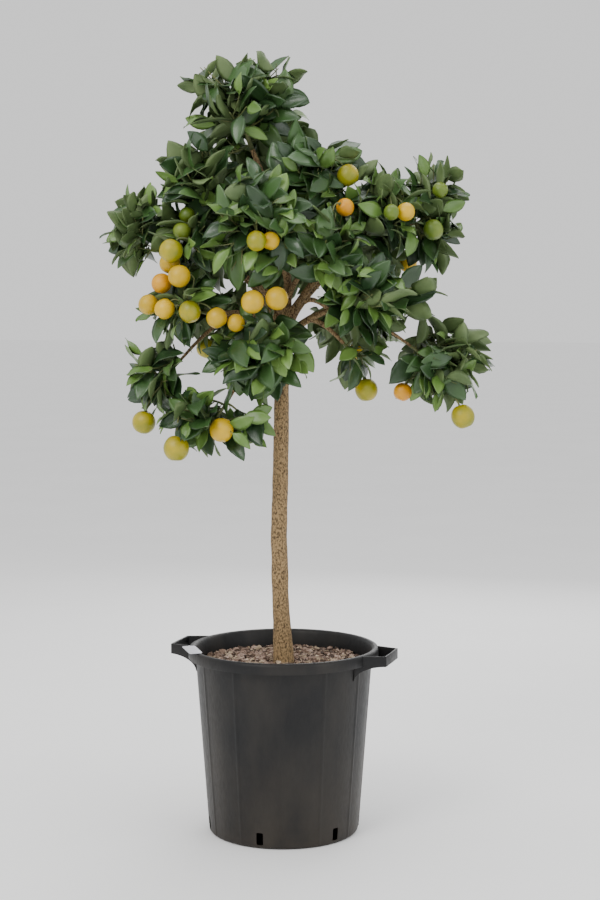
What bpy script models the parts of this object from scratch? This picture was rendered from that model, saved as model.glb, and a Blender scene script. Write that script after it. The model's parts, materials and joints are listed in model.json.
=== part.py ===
"""A fukushu kumquat grown as a small standard tree, in a black nursery pot with two handles.

Metres, +Z up. The origin is the middle of the pot's underside, and the handles lie on the X axis.
The tree is described in its own frame: across to the right, away and up, as it is seen from its best side.
An empty then turns it by CROWN_TURN, because that side isn't square to the handles.
"""

import math
import random
from collections import namedtuple

import bmesh
import bpy
import numpy as np
from mathutils import Matrix, Vector
from mathutils.bvhtree import BVHTree
from mathutils.geometry import interpolate_bezier

# The pot
POT_HEIGHT = 0.351
RIM_RADIUS = 0.180
WALL_TOP_RADIUS = 0.166
FOOT_RADIUS = 0.1415
WALL = 0.0028
FLOOR = 0.0035
SKIRT_DEPTH = 0.020
ROUND_STEPS = 40
SLOT_COUNT = 6
SLOT_WIDTH = 0.013
SLOT_BOTTOM = 0.0065
SLOT_TOP = 0.030

# Each handle is a strap bent to a trapezium, with a curved web under each of its legs
HANDLE_REACH = 0.2125
HANDLE_ROOT_HALF = 0.060
HANDLE_OUTER_HALF = 0.043
HANDLE_ROOT_X = 0.1655
STRAP_HEIGHT = 0.0195
STRAP_THICK = 0.004
WEB_DROP = 0.028
WEB_ROOT_RADIUS = 0.1636
WEB_STEPS = 5

# The potting mix and the plant label that lies on the rim
MIX_TOP = 0.3175
LABEL_SIZE = (0.072, 0.025, 0.0012)
LABEL_AZIMUTH = math.radians(213)
LABEL_RADIUS = 0.1765

# The tree
CROWN_TURN = math.radians(18)
CLEAR = 0.0003
TRUNK_POINTS = (
    (0.000, 0.000, MIX_TOP + CLEAR),
    (-0.001, 0.000, 0.345),
    (-0.006, 0.000, 0.450),
    (-0.0085, 0.000, 0.560),
    (-0.006, 0.000, 0.660),
    (-0.004, 0.000, 0.760),
    (-0.003, 0.002, 0.860),
    (0.003, 0.004, 0.930),
    (0.008, 0.004, 0.990),
)
TRUNK_FOOT_RADIUS = 0.0165
TRUNK_TOP_RADIUS = 0.0130
FLARE = 0.0035
FLARE_HEIGHT = 0.030
TRUNK_SIDES = 9
BOUGH_SIDES = 5
STEM_SIDES = 4
TWIG_SIDES = 3
CHILD_SHARE = 0.78
BOUGH_RADIUS = 0.0075
ROOT_SUNK = 0.5
BOUGH_TAPER = 0.62
STEM_TIP_RADIUS = 0.0024
TWIG_RADIUS = 0.0023
TWIG_TIP_RADIUS = 0.0019

# The leaves here are fewer and larger than life
LEAF_LENGTH = 0.090
LEAF_WIDTH = 0.52
LEAF_THICK = 0.0030
LEAF_SUNK = 0.0005
LEAF_GAP = 0.0255
LEAF_BARE = 0.24
LEAF_APART = 0.013
LEAF_TRIES = 18
LEAF_SHRINK = 0.025
OUTLINE_SPARE = 0.034
SHOOT_REACH = 0.042
TWIG_SHARE = 0.85
TWIG_STATIONS = 3
GOLDEN = math.radians(137.5)
CELL_MARGIN = 0.0012
LIMB_MARGIN = 0.0022
FRUIT_TALL = 1.06
STALK_RADIUS = 0.0016

Mass = namedtuple("Mass", "parent share middle half arch twigs shoots fruit")

# Each mass of foliage: the limb that its bough springs from and how far along it, its middle, its half sizes,
# how far its twigs arch over, how many twigs the rule gives it, its long shoots, and its fruit as place and radius.
MASSES = {
    "top": Mass(
        "trunk", 1.0, (-0.070, 0.000, 1.335), (0.085, 0.090, 0.080), -0.10, 8,
        ((-0.185, 0.000, 1.412), (-0.095, -0.010, 1.436), (-0.035, 0.020, 1.438), (0.028, 0.000, 1.440)),
        (),
    ),
    "upper_left": Mass(
        "top", 0.45, (-0.140, -0.040, 1.225), (0.075, 0.080, 0.065), -0.05, 7,
        ((-0.195, -0.030, 1.225), (-0.178, -0.030, 1.280)),
        (),
    ),
    "upper_right": Mass(
        "top", 0.30, (0.055, -0.060, 1.225), (0.085, 0.080, 0.070), -0.05, 8,
        ((0.070, -0.050, 1.285),),
        ((0.116, -0.105, 1.224, 0.0195),),
    ),
    "back_top": Mass(
        "top", 0.60, (0.000, 0.120, 1.250), (0.095, 0.075, 0.080), -0.05, 8,
        (), ((0.060, 0.190, 1.225, 0.0190),),
    ),
    "heart": Mass(
        "top", 0.16, (-0.045, -0.150, 1.125), (0.080, 0.070, 0.100), 0.10, 9,
        (),
        ((-0.0465, -0.215, 1.102, 0.0175), (-0.0225, -0.186, 1.1035, 0.0160)),
    ),
    "left": Mass(
        "trunk", 0.982, (-0.160, -0.060, 1.105), (0.070, 0.085, 0.070), 0.05, 8,
        ((-0.200, -0.050, 1.170),),
        (
            (-0.182, -0.100, 1.125, 0.0165), (-0.174, -0.080, 1.154, 0.0150), (-0.200, -0.132, 1.088, 0.0210),
            (-0.205, -0.090, 1.067, 0.0190),
        ),
    ),
    "left_tip": Mass(
        "left", 0.60, (-0.262, -0.005, 1.125), (0.050, 0.065, 0.060), -0.05, 6,
        ((-0.290, 0.000, 1.158), (-0.297, -0.010, 1.118)),
        (),
    ),
    "left_low": Mass(
        "trunk", 0.934, (-0.165, -0.090, 0.990), (0.080, 0.085, 0.045), 0.12, 8,
        (),
        (
            (-0.219, -0.105, 1.031, 0.0180), (-0.243, -0.105, 0.993, 0.0180), (-0.212, -0.132, 0.985, 0.0180),
            (-0.166, -0.152, 0.980, 0.0195), (-0.118, -0.156, 0.969, 0.0185), (-0.185, -0.140, 1.043, 0.0200),
        ),
    ),
    "left_hang": Mass(
        "left_low", 0.70, (-0.222, -0.055, 0.865), (0.050, 0.055, 0.065), 0.22, 5,
        ((-0.262, -0.065, 0.830),),
        ((-0.2555, -0.070, 0.7785, 0.0215),),
    ),
    "centre_low": Mass(
        "trunk", 0.904, (-0.045, -0.120, 0.905), (0.080, 0.075, 0.065), 0.20, 8,
        ((0.018, -0.120, 0.868), (0.020, -0.100, 0.915)),
        ((-0.0115, -0.180, 1.003, 0.0205), (-0.054, -0.190, 0.997, 0.0205), (-0.084, -0.152, 0.960, 0.0160)),
    ),
    "lower_left": Mass(
        "centre_low", 0.60, (-0.125, -0.125, 0.790), (0.080, 0.070, 0.048), 0.20, 7,
        ((-0.200, -0.120, 0.780), (-0.070, -0.130, 0.770)),
        ((-0.192, -0.140, 0.736, 0.0230), (-0.110, -0.160, 0.770, 0.0215)),
    ),
    "front_right": Mass(
        "top", 0.07, (0.080, -0.130, 1.095), (0.065, 0.070, 0.070), 0.05, 7,
        (), ((0.110, -0.135, 1.165, 0.0160),),
    ),
    "right": Mass(
        "trunk", 0.974, (0.175, -0.050, 1.150), (0.075, 0.085, 0.070), -0.03, 8,
        ((0.194, -0.050, 1.222), (0.146, -0.050, 1.200)),
        ((0.192, -0.140, 1.156, 0.0140), (0.219, -0.120, 1.158, 0.0165)),
    ),
    "right_tip": Mass(
        "right", 0.65, (0.275, 0.010, 1.160), (0.050, 0.065, 0.080), -0.05, 7,
        ((0.300, 0.020, 1.262), (0.318, 0.010, 1.120)),
        ((0.2875, -0.040, 1.2025, 0.0145), (0.273, -0.065, 1.129, 0.0185)),
    ),
    "right_mid": Mass(
        "trunk", 0.919, (0.165, -0.100, 1.010), (0.095, 0.085, 0.060), 0.08, 9,
        (), (),
    ),
    "right_hang": Mass(
        "right_mid", 0.75, (0.285, -0.055, 0.895), (0.080, 0.070, 0.065), 0.20, 8,
        ((0.345, -0.060, 0.860), (0.290, -0.070, 0.820), (0.325, -0.050, 0.935)),
        ((0.3270, -0.090, 0.790, 0.0215), (0.220, -0.050, 0.833, 0.0170)),
    ),
    "right_inner": Mass(
        "right_mid", 0.40, (0.135, -0.040, 0.905), (0.035, 0.040, 0.050), 0.20, 3,
        (), ((0.154, -0.030, 0.836, 0.0215),),
    ),
    "back_mid": Mass(
        "trunk", 0.911, (0.010, 0.205, 1.110), (0.085, 0.070, 0.085), 0.05, 8,
        (), ((-0.010, 0.265, 1.060, 0.0190), (0.060, 0.255, 1.080, 0.0170)),
    ),
    "back_left": Mass(
        "trunk", 0.941, (-0.145, 0.120, 1.110), (0.085, 0.080, 0.080), 0.05, 8,
        (), ((-0.185, 0.185, 1.075, 0.0190), (-0.155, 0.195, 1.110, 0.0170)),
    ),
    "back_right": Mass(
        "trunk", 0.956, (0.155, 0.125, 1.110), (0.090, 0.080, 0.080), 0.05, 8,
        (), ((0.195, 0.185, 1.085, 0.0195), (0.240, 0.120, 1.075, 0.0180)),
    ),
    "back_low_left": Mass(
        "back_left", 0.30, (-0.105, 0.115, 0.965), (0.085, 0.075, 0.060), 0.15, 7,
        (), ((-0.150, 0.150, 0.910, 0.0200),),
    ),
    "back_low_right": Mass(
        "back_right", 0.30, (0.130, 0.120, 0.965), (0.085, 0.080, 0.060), 0.15, 7,
        (), ((0.150, 0.170, 0.905, 0.0200),),
    ),
}

COLOURS = {
    "black_plastic": ((0.028, 0.029, 0.031), 0.55),
    "potting_mix": ((0.16, 0.10, 0.065), 0.95),
    "label_plastic": ((0.70, 0.70, 0.74), 0.45),
    "bark": ((0.19, 0.125, 0.055), 0.85),
    "green_bark": ((0.10, 0.14, 0.035), 0.60),
    "foliage": ((0.045, 0.105, 0.028), 0.40),
}

for old in list(bpy.data.objects):
    bpy.data.objects.remove(old)

TREE_PARTS = bpy.data.collections.new("kumquat_tree")
CUTTERS = bpy.data.collections.new("cutters")
for group in (TREE_PARTS, CUTTERS):
    bpy.context.scene.collection.children.link(group)


def material(name):
    """The Principled material of that name, made the first time it is asked for."""
    found = bpy.data.materials.get(name)
    if found:
        return found
    colour, roughness = COLOURS[name]
    made = bpy.data.materials.new(name)
    made.use_nodes = True
    shader = made.node_tree.nodes["Principled BSDF"]
    shader.inputs["Base Color"].default_value = (*colour, 1.0)
    shader.inputs["Roughness"].default_value = roughness
    shader.inputs["Metallic"].default_value = 0.0
    return made


def add_object(name, mesh, finish=None, group=TREE_PARTS):
    """Puts a mesh in the scene under that name. A cutter isn't rendered, and shows as wire."""
    made = bpy.data.objects.new(name, mesh)
    group.objects.link(made)
    if finish:
        mesh.materials.clear()
        mesh.materials.append(material(finish))
    if group is CUTTERS:
        made.hide_render = True
        made.display_type = "WIRE"
    return made


def mesh_of(bm, name):
    """Ends a bmesh: its faces are turned outwards, and it becomes a mesh."""
    bmesh.ops.recalc_face_normals(bm, faces=bm.faces)
    mesh = bpy.data.meshes.new(name)
    bm.to_mesh(mesh)
    bm.free()
    return mesh


def boolean(target, other, operation):
    """A Boolean that stays live on the target. The other is an object or a collection."""
    cut = target.modifiers.new(operation.lower(), "BOOLEAN")
    cut.operation = operation
    cut.solver = "EXACT"
    if isinstance(other, bpy.types.Collection):
        cut.operand_type = "COLLECTION"
        cut.collection = other
    else:
        cut.object = other
    return cut


def turned(name, profile, finish):
    """A turned piece: a profile of radius and height, which runs down its outer side, on a Screw."""
    bm = bmesh.new()
    corners = [bm.verts.new((radius, 0.0, height)) for radius, height in profile]
    for first, second in zip(corners, corners[1:]):
        bm.edges.new((first, second))
    mesh = bpy.data.meshes.new(name)
    bm.to_mesh(mesh)
    bm.free()
    made = add_object(name, mesh, finish)
    screw = made.modifiers.new("turn", "SCREW")
    screw.steps = screw.render_steps = ROUND_STEPS
    screw.use_merge_vertices = True
    screw.merge_threshold = 0.0001
    return made


def plate(name, outline, thickness, group):
    """A flat plate in the XY plane, from a closed outline, as a mesh with its caps welded."""
    curve = bpy.data.curves.new(name, "CURVE")
    curve.dimensions = "2D"
    curve.fill_mode = "BOTH"
    curve.extrude = thickness / 2
    spline = curve.splines.new("POLY")
    spline.points.add(len(outline) - 1)
    for point, corner in zip(spline.points, outline):
        point.co = (corner[0], corner[1], 0.0, 1.0)
    spline.use_cyclic_u = True
    helper = bpy.data.objects.new(name, curve)
    bpy.context.scene.collection.objects.link(helper)
    bpy.context.view_layer.update()
    mesh = bpy.data.meshes.new_from_object(helper.evaluated_get(bpy.context.evaluated_depsgraph_get()))
    bpy.data.objects.remove(helper)
    bm = bmesh.new()
    bm.from_mesh(mesh)
    bmesh.ops.remove_doubles(bm, verts=bm.verts, dist=0.00001)
    bpy.data.meshes.remove(mesh)
    return add_object(name, mesh_of(bm, name), None, group)


def pot_profile():
    """The pot's section, from the middle of its floor inside, up and over the rim, and down outside."""
    skirt_foot = POT_HEIGHT - SKIRT_DEPTH
    return (
        (0.0, FLOOR),
        (FOOT_RADIUS - WALL, FLOOR),
        (WALL_TOP_RADIUS - WALL, skirt_foot),
        (0.1665, 0.3440),
        (0.1690, 0.3495),
        (0.1725, POT_HEIGHT),
        (0.1775, 0.3495),
        (RIM_RADIUS, 0.3450),
        (RIM_RADIUS, skirt_foot),
        (RIM_RADIUS - WALL, skirt_foot),
        (RIM_RADIUS - WALL, 0.3440),
        (0.1735, 0.3475),
        (WALL_TOP_RADIUS, skirt_foot),
        (FOOT_RADIUS, 0.0040),
        (FOOT_RADIUS - 0.003, 0.0),
        (0.0, 0.0),
    )


def handle_pieces(side, group):
    """One handle: its strap, and the webs that brace its legs against the wall. Side is 1 on the right."""
    inner_root = HANDLE_ROOT_HALF - STRAP_THICK
    inner_outer = HANDLE_OUTER_HALF - STRAP_THICK * 0.6
    inner_reach = HANDLE_REACH - STRAP_THICK
    outline = [
        (HANDLE_ROOT_X, -HANDLE_ROOT_HALF), (HANDLE_REACH, -HANDLE_OUTER_HALF),
        (HANDLE_REACH, HANDLE_OUTER_HALF), (HANDLE_ROOT_X, HANDLE_ROOT_HALF),
        (HANDLE_ROOT_X, inner_root), (inner_reach, inner_outer),
        (inner_reach, -inner_outer), (HANDLE_ROOT_X, -inner_root),
    ]
    strap = plate(f"strap_{side}", outline, STRAP_HEIGHT, group)
    strap_middle = POT_HEIGHT - 0.001 - STRAP_HEIGHT / 2
    strap.matrix_world = Matrix.Translation((0, 0, strap_middle)) @ Matrix.Rotation(math.pi * (side < 0), 4, "Z")
    strap_foot = strap_middle - STRAP_HEIGHT / 2
    for end in (-1, 1):
        # A leg's line in plan, in from the strap's corner to the middle of the pot's wall
        outer = Vector((HANDLE_REACH - STRAP_THICK / 2, end * (HANDLE_OUTER_HALF - STRAP_THICK / 2)))
        root_y = end * (HANDLE_ROOT_HALF - STRAP_THICK / 2)
        root = Vector((math.sqrt(WEB_ROOT_RADIUS**2 - root_y**2), root_y))
        reach = (outer - root).length
        lift = 0.002
        arc = [
            (reach * math.sin(turn), -WEB_DROP * math.cos(turn))
            for turn in (step / WEB_STEPS * math.pi / 2 for step in range(WEB_STEPS + 1))
        ]
        # The curve hugs the wall first and then runs out under the leg
        curved = [(reach - (reach - x) * 1.0 if x >= reach else x * x / reach, z) for x, z in arc]
        web = plate(f"web_{side}_{end}", [(0.0, lift), *curved, (reach, lift)], STRAP_THICK * 0.9, group)
        along = (outer - root).normalized()
        stand = Matrix(((along.x, 0, along.y), (along.y, 0, -along.x), (0, 1, 0))).to_4x4()
        place = Matrix.Translation((root.x, root.y, strap_foot))
        web.matrix_world = Matrix.Rotation(math.pi * (side < 0), 4, "Z") @ place @ stand


def make_pot():
    """The pot with its two handles joined on and its drain slots cut."""
    pot = turned("pot", pot_profile(), "black_plastic")
    handles = bpy.data.collections.new("handle_pieces")
    CUTTERS.children.link(handles)
    for side in (1, -1):
        handle_pieces(side, handles)
    for piece in handles.objects:
        piece.hide_render = True
        piece.display_type = "WIRE"
    boolean(pot, handles, "UNION")
    slots = bmesh.new()
    for index in range(SLOT_COUNT):
        turn = math.radians(30) + index * math.tau / SLOT_COUNT
        place = (
            Matrix.Rotation(turn, 4, "Z")
            @ Matrix.Translation((FOOT_RADIUS, 0, (SLOT_BOTTOM + SLOT_TOP) / 2))
            @ Matrix.Diagonal((0.03, SLOT_WIDTH, SLOT_TOP - SLOT_BOTTOM, 1.0))
        )
        bmesh.ops.create_cube(slots, size=1.0, matrix=place)
    boolean(pot, add_object("drain_slots", mesh_of(slots, "drain_slots"), None, CUTTERS), "DIFFERENCE")


def make_mix():
    """The potting mix, which fills the pot to below its rim."""
    bottom = FLOOR + CLEAR
    taper = (WALL_TOP_RADIUS - FOOT_RADIUS) / (POT_HEIGHT - SKIRT_DEPTH)
    foot = FOOT_RADIUS - WALL - CLEAR - 0.0004
    top = foot + taper * (MIX_TOP - bottom) - 0.0003
    turned("potting_mix", ((0.0, MIX_TOP), (top, MIX_TOP), (foot, bottom), (0.0, bottom)), "potting_mix")


def make_label():
    """A blank plant label, lying flat along the rim."""
    length, width, thick = LABEL_SIZE
    cut = 0.004
    corners = [
        (sx * (length / 2 - a), sy * (width / 2 - b))
        for sx, sy, order in ((1, -1, 0), (1, 1, 1), (-1, 1, 0), (-1, -1, 1))
        for a, b in (((cut, 0), (0, cut)) if order == 0 else ((0, cut), (cut, 0)))
    ]
    label = plate("label", corners, thick, TREE_PARTS)
    label.data.materials.append(material("label_plastic"))
    label.location = (
        LABEL_RADIUS * math.cos(LABEL_AZIMUTH),
        LABEL_RADIUS * math.sin(LABEL_AZIMUTH),
        POT_HEIGHT + CLEAR + thick / 2,
    )
    label.rotation_euler.z = LABEL_AZIMUTH + math.pi / 2


def bend(start, control, end, stations):
    """Points along a quadratic curve, from start to end."""
    first = start + (control - start) * 2 / 3
    second = end + (control - end) * 2 / 3
    return [Vector(p) for p in interpolate_bezier(start, first, second, end, stations)]


def smooth_path(points, per_span):
    """A smooth path through the points, by cubic spans whose slopes follow their neighbours."""
    points = [Vector(p) for p in points]
    path = []
    for i in range(len(points) - 1):
        before, after = points[max(i - 1, 0)], points[min(i + 2, len(points) - 1)]
        one = points[i] + (points[i + 1] - before) / 6
        two = points[i + 1] - (after - points[i]) / 6
        path += interpolate_bezier(points[i], one, two, points[i + 1], per_span + 1)[:-1]
    return path + [points[-1]]


def along(path, share):
    """The point and direction at that share of a path's length."""
    steps = [after - before for before, after in zip(path, path[1:])]
    left = min(max(share, 0.0), 1.0) * sum(step.length for step in steps)
    for point, step in zip(path, steps):
        if left <= step.length or step is steps[-1]:
            return point + step.normalized() * left, step.normalized()
        left -= step.length


def tube(path, radii, sides, foot=None):
    """A tapering limb: a ring of corners that is extruded from station to station of the path.

    Its first ring is square to the path, or to the direction that is given as its foot.
    """
    bm = bmesh.new()
    side = None
    before = None
    face = None
    for index, point in enumerate(path):
        heading = (path[min(index + 1, len(path) - 1)] - path[max(index - 1, 0)]).normalized()
        if index == 0 and foot:
            heading = foot
        side = heading.orthogonal() if side is None else side - heading * side.dot(heading)
        side = side.normalized()
        frame = Matrix((side, heading.cross(side), heading)).transposed().to_4x4()
        frame = Matrix.Translation(point) @ frame @ Matrix.Scale(radii[index], 4)
        if face is None:
            ring = bmesh.ops.create_circle(bm, cap_ends=True, radius=1.0, segments=sides, matrix=frame)
            face = ring["verts"][0].link_faces[0]
        else:
            grown = bmesh.ops.extrude_face_region(bm, geom=[face, *face.edges, *face.verts])["geom"]
            face = next(g for g in grown if isinstance(g, bmesh.types.BMFace))
            bmesh.ops.transform(bm, matrix=frame @ before.inverted(), verts=face.verts)
        before = frame
    return bm


def even(first, last, count):
    """Radii that run evenly from first to last."""
    return [first + (last - first) * i / (count - 1) for i in range(count)]


def guards_for():
    """A swollen skin round every limb, stem and fruit, with the mass that needn't keep clear of it."""
    guards = []
    for limb in LIMBS.values():
        guards.append((None, swollen(limb)))
    for name, stem in STEMS.items():
        guards.append((name, swollen(stem)))
        for x, y, z, radius in MASSES[name].fruit:
            guards.append((name, skin_of(fruit_mesh(Vector((x, y, z)), radius + LIMB_MARGIN))))
    return guards


def swollen(limb):
    """A limb's skin, set out by the margin that foliage keeps from it."""
    return skin_of(mesh_of(tube(limb.path, [radius + LIMB_MARGIN for radius in limb.radii], BOUGH_SIDES), "guard"))


class Cells:
    """Each mass's own space: the points that are nearer to it than to any other, for its size."""

    def __init__(self):
        self.names = list(MASSES)
        self.middles = np.array([MASSES[n].middle for n in self.names])
        self.weights = np.array([(sum(MASSES[n].half) / 3) ** 2 for n in self.names])

    def holds(self, name, samples, margin):
        own = self.names.index(name)
        spots = np.array([tuple(p) for p in samples])
        power = ((spots[:, None, :] - self.middles[None]) ** 2).sum(axis=2) - self.weights[None]
        lead = np.delete(power, own, axis=1) - power[:, [own]]
        apart = 2 * np.linalg.norm(np.delete(self.middles, own, axis=0) - self.middles[own], axis=1)
        return bool((lead / apart > margin).all())


Limb = namedtuple("Limb", "path radii")


def make_limbs():
    """The trunk, and the path and radii of each mass's bough, worked out from parent to child."""
    trunk_path = smooth_path(TRUNK_POINTS, 1)
    trunk_radii = even(TRUNK_FOOT_RADIUS, TRUNK_TOP_RADIUS, len(trunk_path))
    for index, point in enumerate(trunk_path):
        low = max(0.0, 1 - (point.z - MIX_TOP) / FLARE_HEIGHT)
        trunk_radii[index] += FLARE * low * low
    limbs = {"trunk": Limb(trunk_path, trunk_radii)}
    for name, mass in MASSES.items():
        parent = limbs[mass.parent]
        start, heading = along(parent.path, mass.share)
        if mass.share == 1.0:
            start = start + heading * CLEAR * 2
        middle = Vector(mass.middle)
        chord = middle - start
        reach = Vector(np.array(mass.half) * np.array(chord.normalized())).length
        end = middle - chord.normalized() * reach * 0.72
        width = float(np.interp(mass.share, np.linspace(0, 1, len(parent.radii)), parent.radii)) * CHILD_SHARE
        if mass.share == 1.0:
            control = start + heading * chord.length * 0.35
        else:
            out = Vector((chord.x, chord.y, 0)).normalized()
            start = start + out * width / CHILD_SHARE * ROOT_SUNK
            control = start.lerp(end, 0.42) + Vector((0, 0, 0.13 * chord.length))
        path = bend(start, control, end, 6)
        width = min(width, BOUGH_RADIUS)
        limbs[name] = Limb(path, even(width, width * BOUGH_TAPER, len(path)))
    return limbs


def near(one, other):
    """Whether two limbs come so close that one has to make room for the other."""
    for i in range(31):
        spot, _ = along(one.path, i / 30)
        wide = float(np.interp(i / 30, np.linspace(0, 1, len(one.radii)), one.radii))
        for j in range(31):
            width = float(np.interp(j / 30, np.linspace(0, 1, len(other.radii)), other.radii))
            if (along(other.path, j / 30)[0] - spot).length < wide + width + CLEAR * 4:
                return True
    return False


def build_limbs(limbs):
    """The trunk and boughs as solids. A bough is cut to fit its parent and earlier boughs, with a fine gap."""
    sides_of = {name: TRUNK_SIDES if name == "trunk" else BOUGH_SIDES for name in limbs}
    done = []
    for name, limb in limbs.items():
        solid_name = name if name == "trunk" else f"bough_{name}"
        foot = Vector((0, 0, 1)) if name == "trunk" else None
        mesh = mesh_of(tube(limb.path, limb.radii, sides_of[name], foot), solid_name)
        solid = add_object(solid_name, mesh, "bark")
        solid.data.shade_smooth()
        solid.parent = TREE
        for other in done:
            if name == "top" or not (other == MASSES[name].parent or near(limb, limbs[other])):
                continue
            grown = [radius + CLEAR * 1.3 for radius in limbs[other].radii]
            room = mesh_of(tube(limbs[other].path, grown, sides_of[other]), "room")
            cutter = add_object(f"room_{name}_{other}", room, None, CUTTERS)
            cutter.parent = TREE
            boolean(solid, cutter, "DIFFERENCE")
        settle(solid, "bark")
        done.append(name)
    for cutter in [item for item in CUTTERS.objects if item.name.startswith("room_")]:
        bpy.data.objects.remove(cutter)


def settle(solid, finish):
    """Applies a solid's Booleans and keeps its largest body."""
    bpy.context.view_layer.update()
    joined = bpy.data.meshes.new_from_object(solid.evaluated_get(bpy.context.evaluated_depsgraph_get()))
    solid.modifiers.clear()
    solid.data = whole_body(joined, solid.name)
    solid.data.materials.clear()
    solid.data.materials.append(material(finish))
    solid.data.shade_smooth()


def leaf_frame(root, heading, facing, length):
    """A leaf's place: X runs from its root to its tip, and Z is the way its face looks."""
    heading = heading.normalized()
    facing = (facing - heading * facing.dot(heading)).normalized()
    basis = Matrix((heading, facing.cross(heading), facing)).transposed().to_4x4()
    return Matrix.Translation(root - heading * LEAF_SUNK) @ basis @ Matrix.Scale(length, 4)


# The corners of a leaf's outline and its middle, with its length as 1. The first is where it leaves its twig.
LEAF_CORNERS = [Vector((x, y * LEAF_WIDTH / 2, 0)) for x, y in ((0.14, 0), (0.5, 1), (1, 0), (0.5, -1), (0.5, 0))]


def leaf_mesh(frame):
    """A leaf as a solid of six faces: it is pointed at both ends, flat above and keeled below."""
    bm = bmesh.new()
    bmesh.ops.create_uvsphere(bm, u_segments=3, v_segments=2, radius=1.0)
    lie_down = Matrix.Rotation(math.pi / 2, 4, "Y")
    bmesh.ops.transform(bm, matrix=lie_down, verts=bm.verts)
    low = min(v.co.z for v in bm.verts), max(v.co.z for v in bm.verts)
    wide = max(v.co.y for v in bm.verts)
    size = Matrix.Diagonal((0.5, LEAF_WIDTH / 2 / wide, LEAF_THICK / LEAF_LENGTH / (low[1] - low[0]), 1.0))
    bmesh.ops.transform(bm, matrix=frame @ Matrix.Translation((0.5, 0, 0)) @ size, verts=bm.verts)
    return mesh_of(bm, "leaf")


def fruit_mesh(centre, radius):
    """A kumquat: a ball, a little taller than it is wide."""
    bm = bmesh.new()
    bmesh.ops.create_uvsphere(bm, u_segments=6, v_segments=4, radius=radius)
    bmesh.ops.transform(
        bm, matrix=Matrix.Translation(centre) @ Matrix.Diagonal((1, 1, FRUIT_TALL, 1)), verts=bm.verts
    )
    return mesh_of(bm, "fruit")


def within(mass, point):
    """Whether a point lies in the mass's outline: its swollen ball, or a sleeve round one of its long shoots."""
    middle = Vector(mass.middle)
    offset = point - middle
    if Vector([offset[i] / (mass.half[i] + OUTLINE_SPARE) for i in range(3)]).length < 1:
        return True
    for tip in mass.shoots:
        shoot = Vector(tip) - middle
        shoot -= shoot.normalized() * SHOOT_REACH * 0.7
        share = min(max(offset.dot(shoot) / shoot.length_squared, 0.0), 1.0)
        if (offset - shoot * share).length < SHOOT_REACH:
            return True
    return False


def twig_tips(mass, rng):
    """The long shoots' tips, and then tips spread over the mass by a golden spiral."""
    middle, half = Vector(mass.middle), mass.half
    tips = [Vector(tip) - (Vector(tip) - middle).normalized() * SHOOT_REACH for tip in mass.shoots]
    spread = mass.twigs * 2
    for index in range(spread):
        height = 1 - 2 * (index + 0.5) / spread
        turn = index * GOLDEN + rng.uniform(0, 0.5)
        level = math.sqrt(1 - height * height)
        reach = rng.uniform(0.62, 0.95)
        offset = Vector((level * math.cos(turn) * half[0], level * math.sin(turn) * half[1], height * half[2]))
        tips.append(middle + offset * reach)
    order = tips[len(mass.shoots):]
    rng.shuffle(order)
    return tips[: len(mass.shoots)] + order


def leaf_places(path, rng):
    """Where leaves grow on a twig: past its bare foot, round it by the golden angle, and one at its tip."""
    total = sum((b - a).length for a, b in zip(path, path[1:]))
    count = max(1, round(total * (1 - LEAF_BARE) / LEAF_GAP))
    turn = rng.uniform(0, math.tau)
    for index in range(count + 1):
        root, heading = along(path, min(LEAF_BARE + (1 - LEAF_BARE) * index / count, 0.94))
        turn += GOLDEN
        yield root, heading, turn, index == count


def leaf_try(root, heading, turn, last, mass, attempt, rng):
    """One way that a leaf could grow from its place on a twig. It is a little smaller at each attempt."""
    side = heading.orthogonal().normalized()
    around = side * math.cos(turn) + heading.cross(side) * math.sin(turn)
    opened = math.radians(rng.uniform(5, 25) if last else rng.uniform(38, 62))
    aim = heading * math.cos(opened) + around * math.sin(opened)
    aim.z -= 0.12 + 0.9 * max(0.0, mass.arch)
    outward = Vector((root.x, root.y, 0)).normalized()
    facing = Vector((0, 0, 0.42)) + outward * 0.9 + Vector([rng.gauss(0, 0.38) for _ in range(3)])
    length = LEAF_LENGTH * rng.uniform(0.88, 1.08) * (1 - LEAF_SHRINK * attempt)
    return leaf_frame(root, aim, facing, length)


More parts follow.
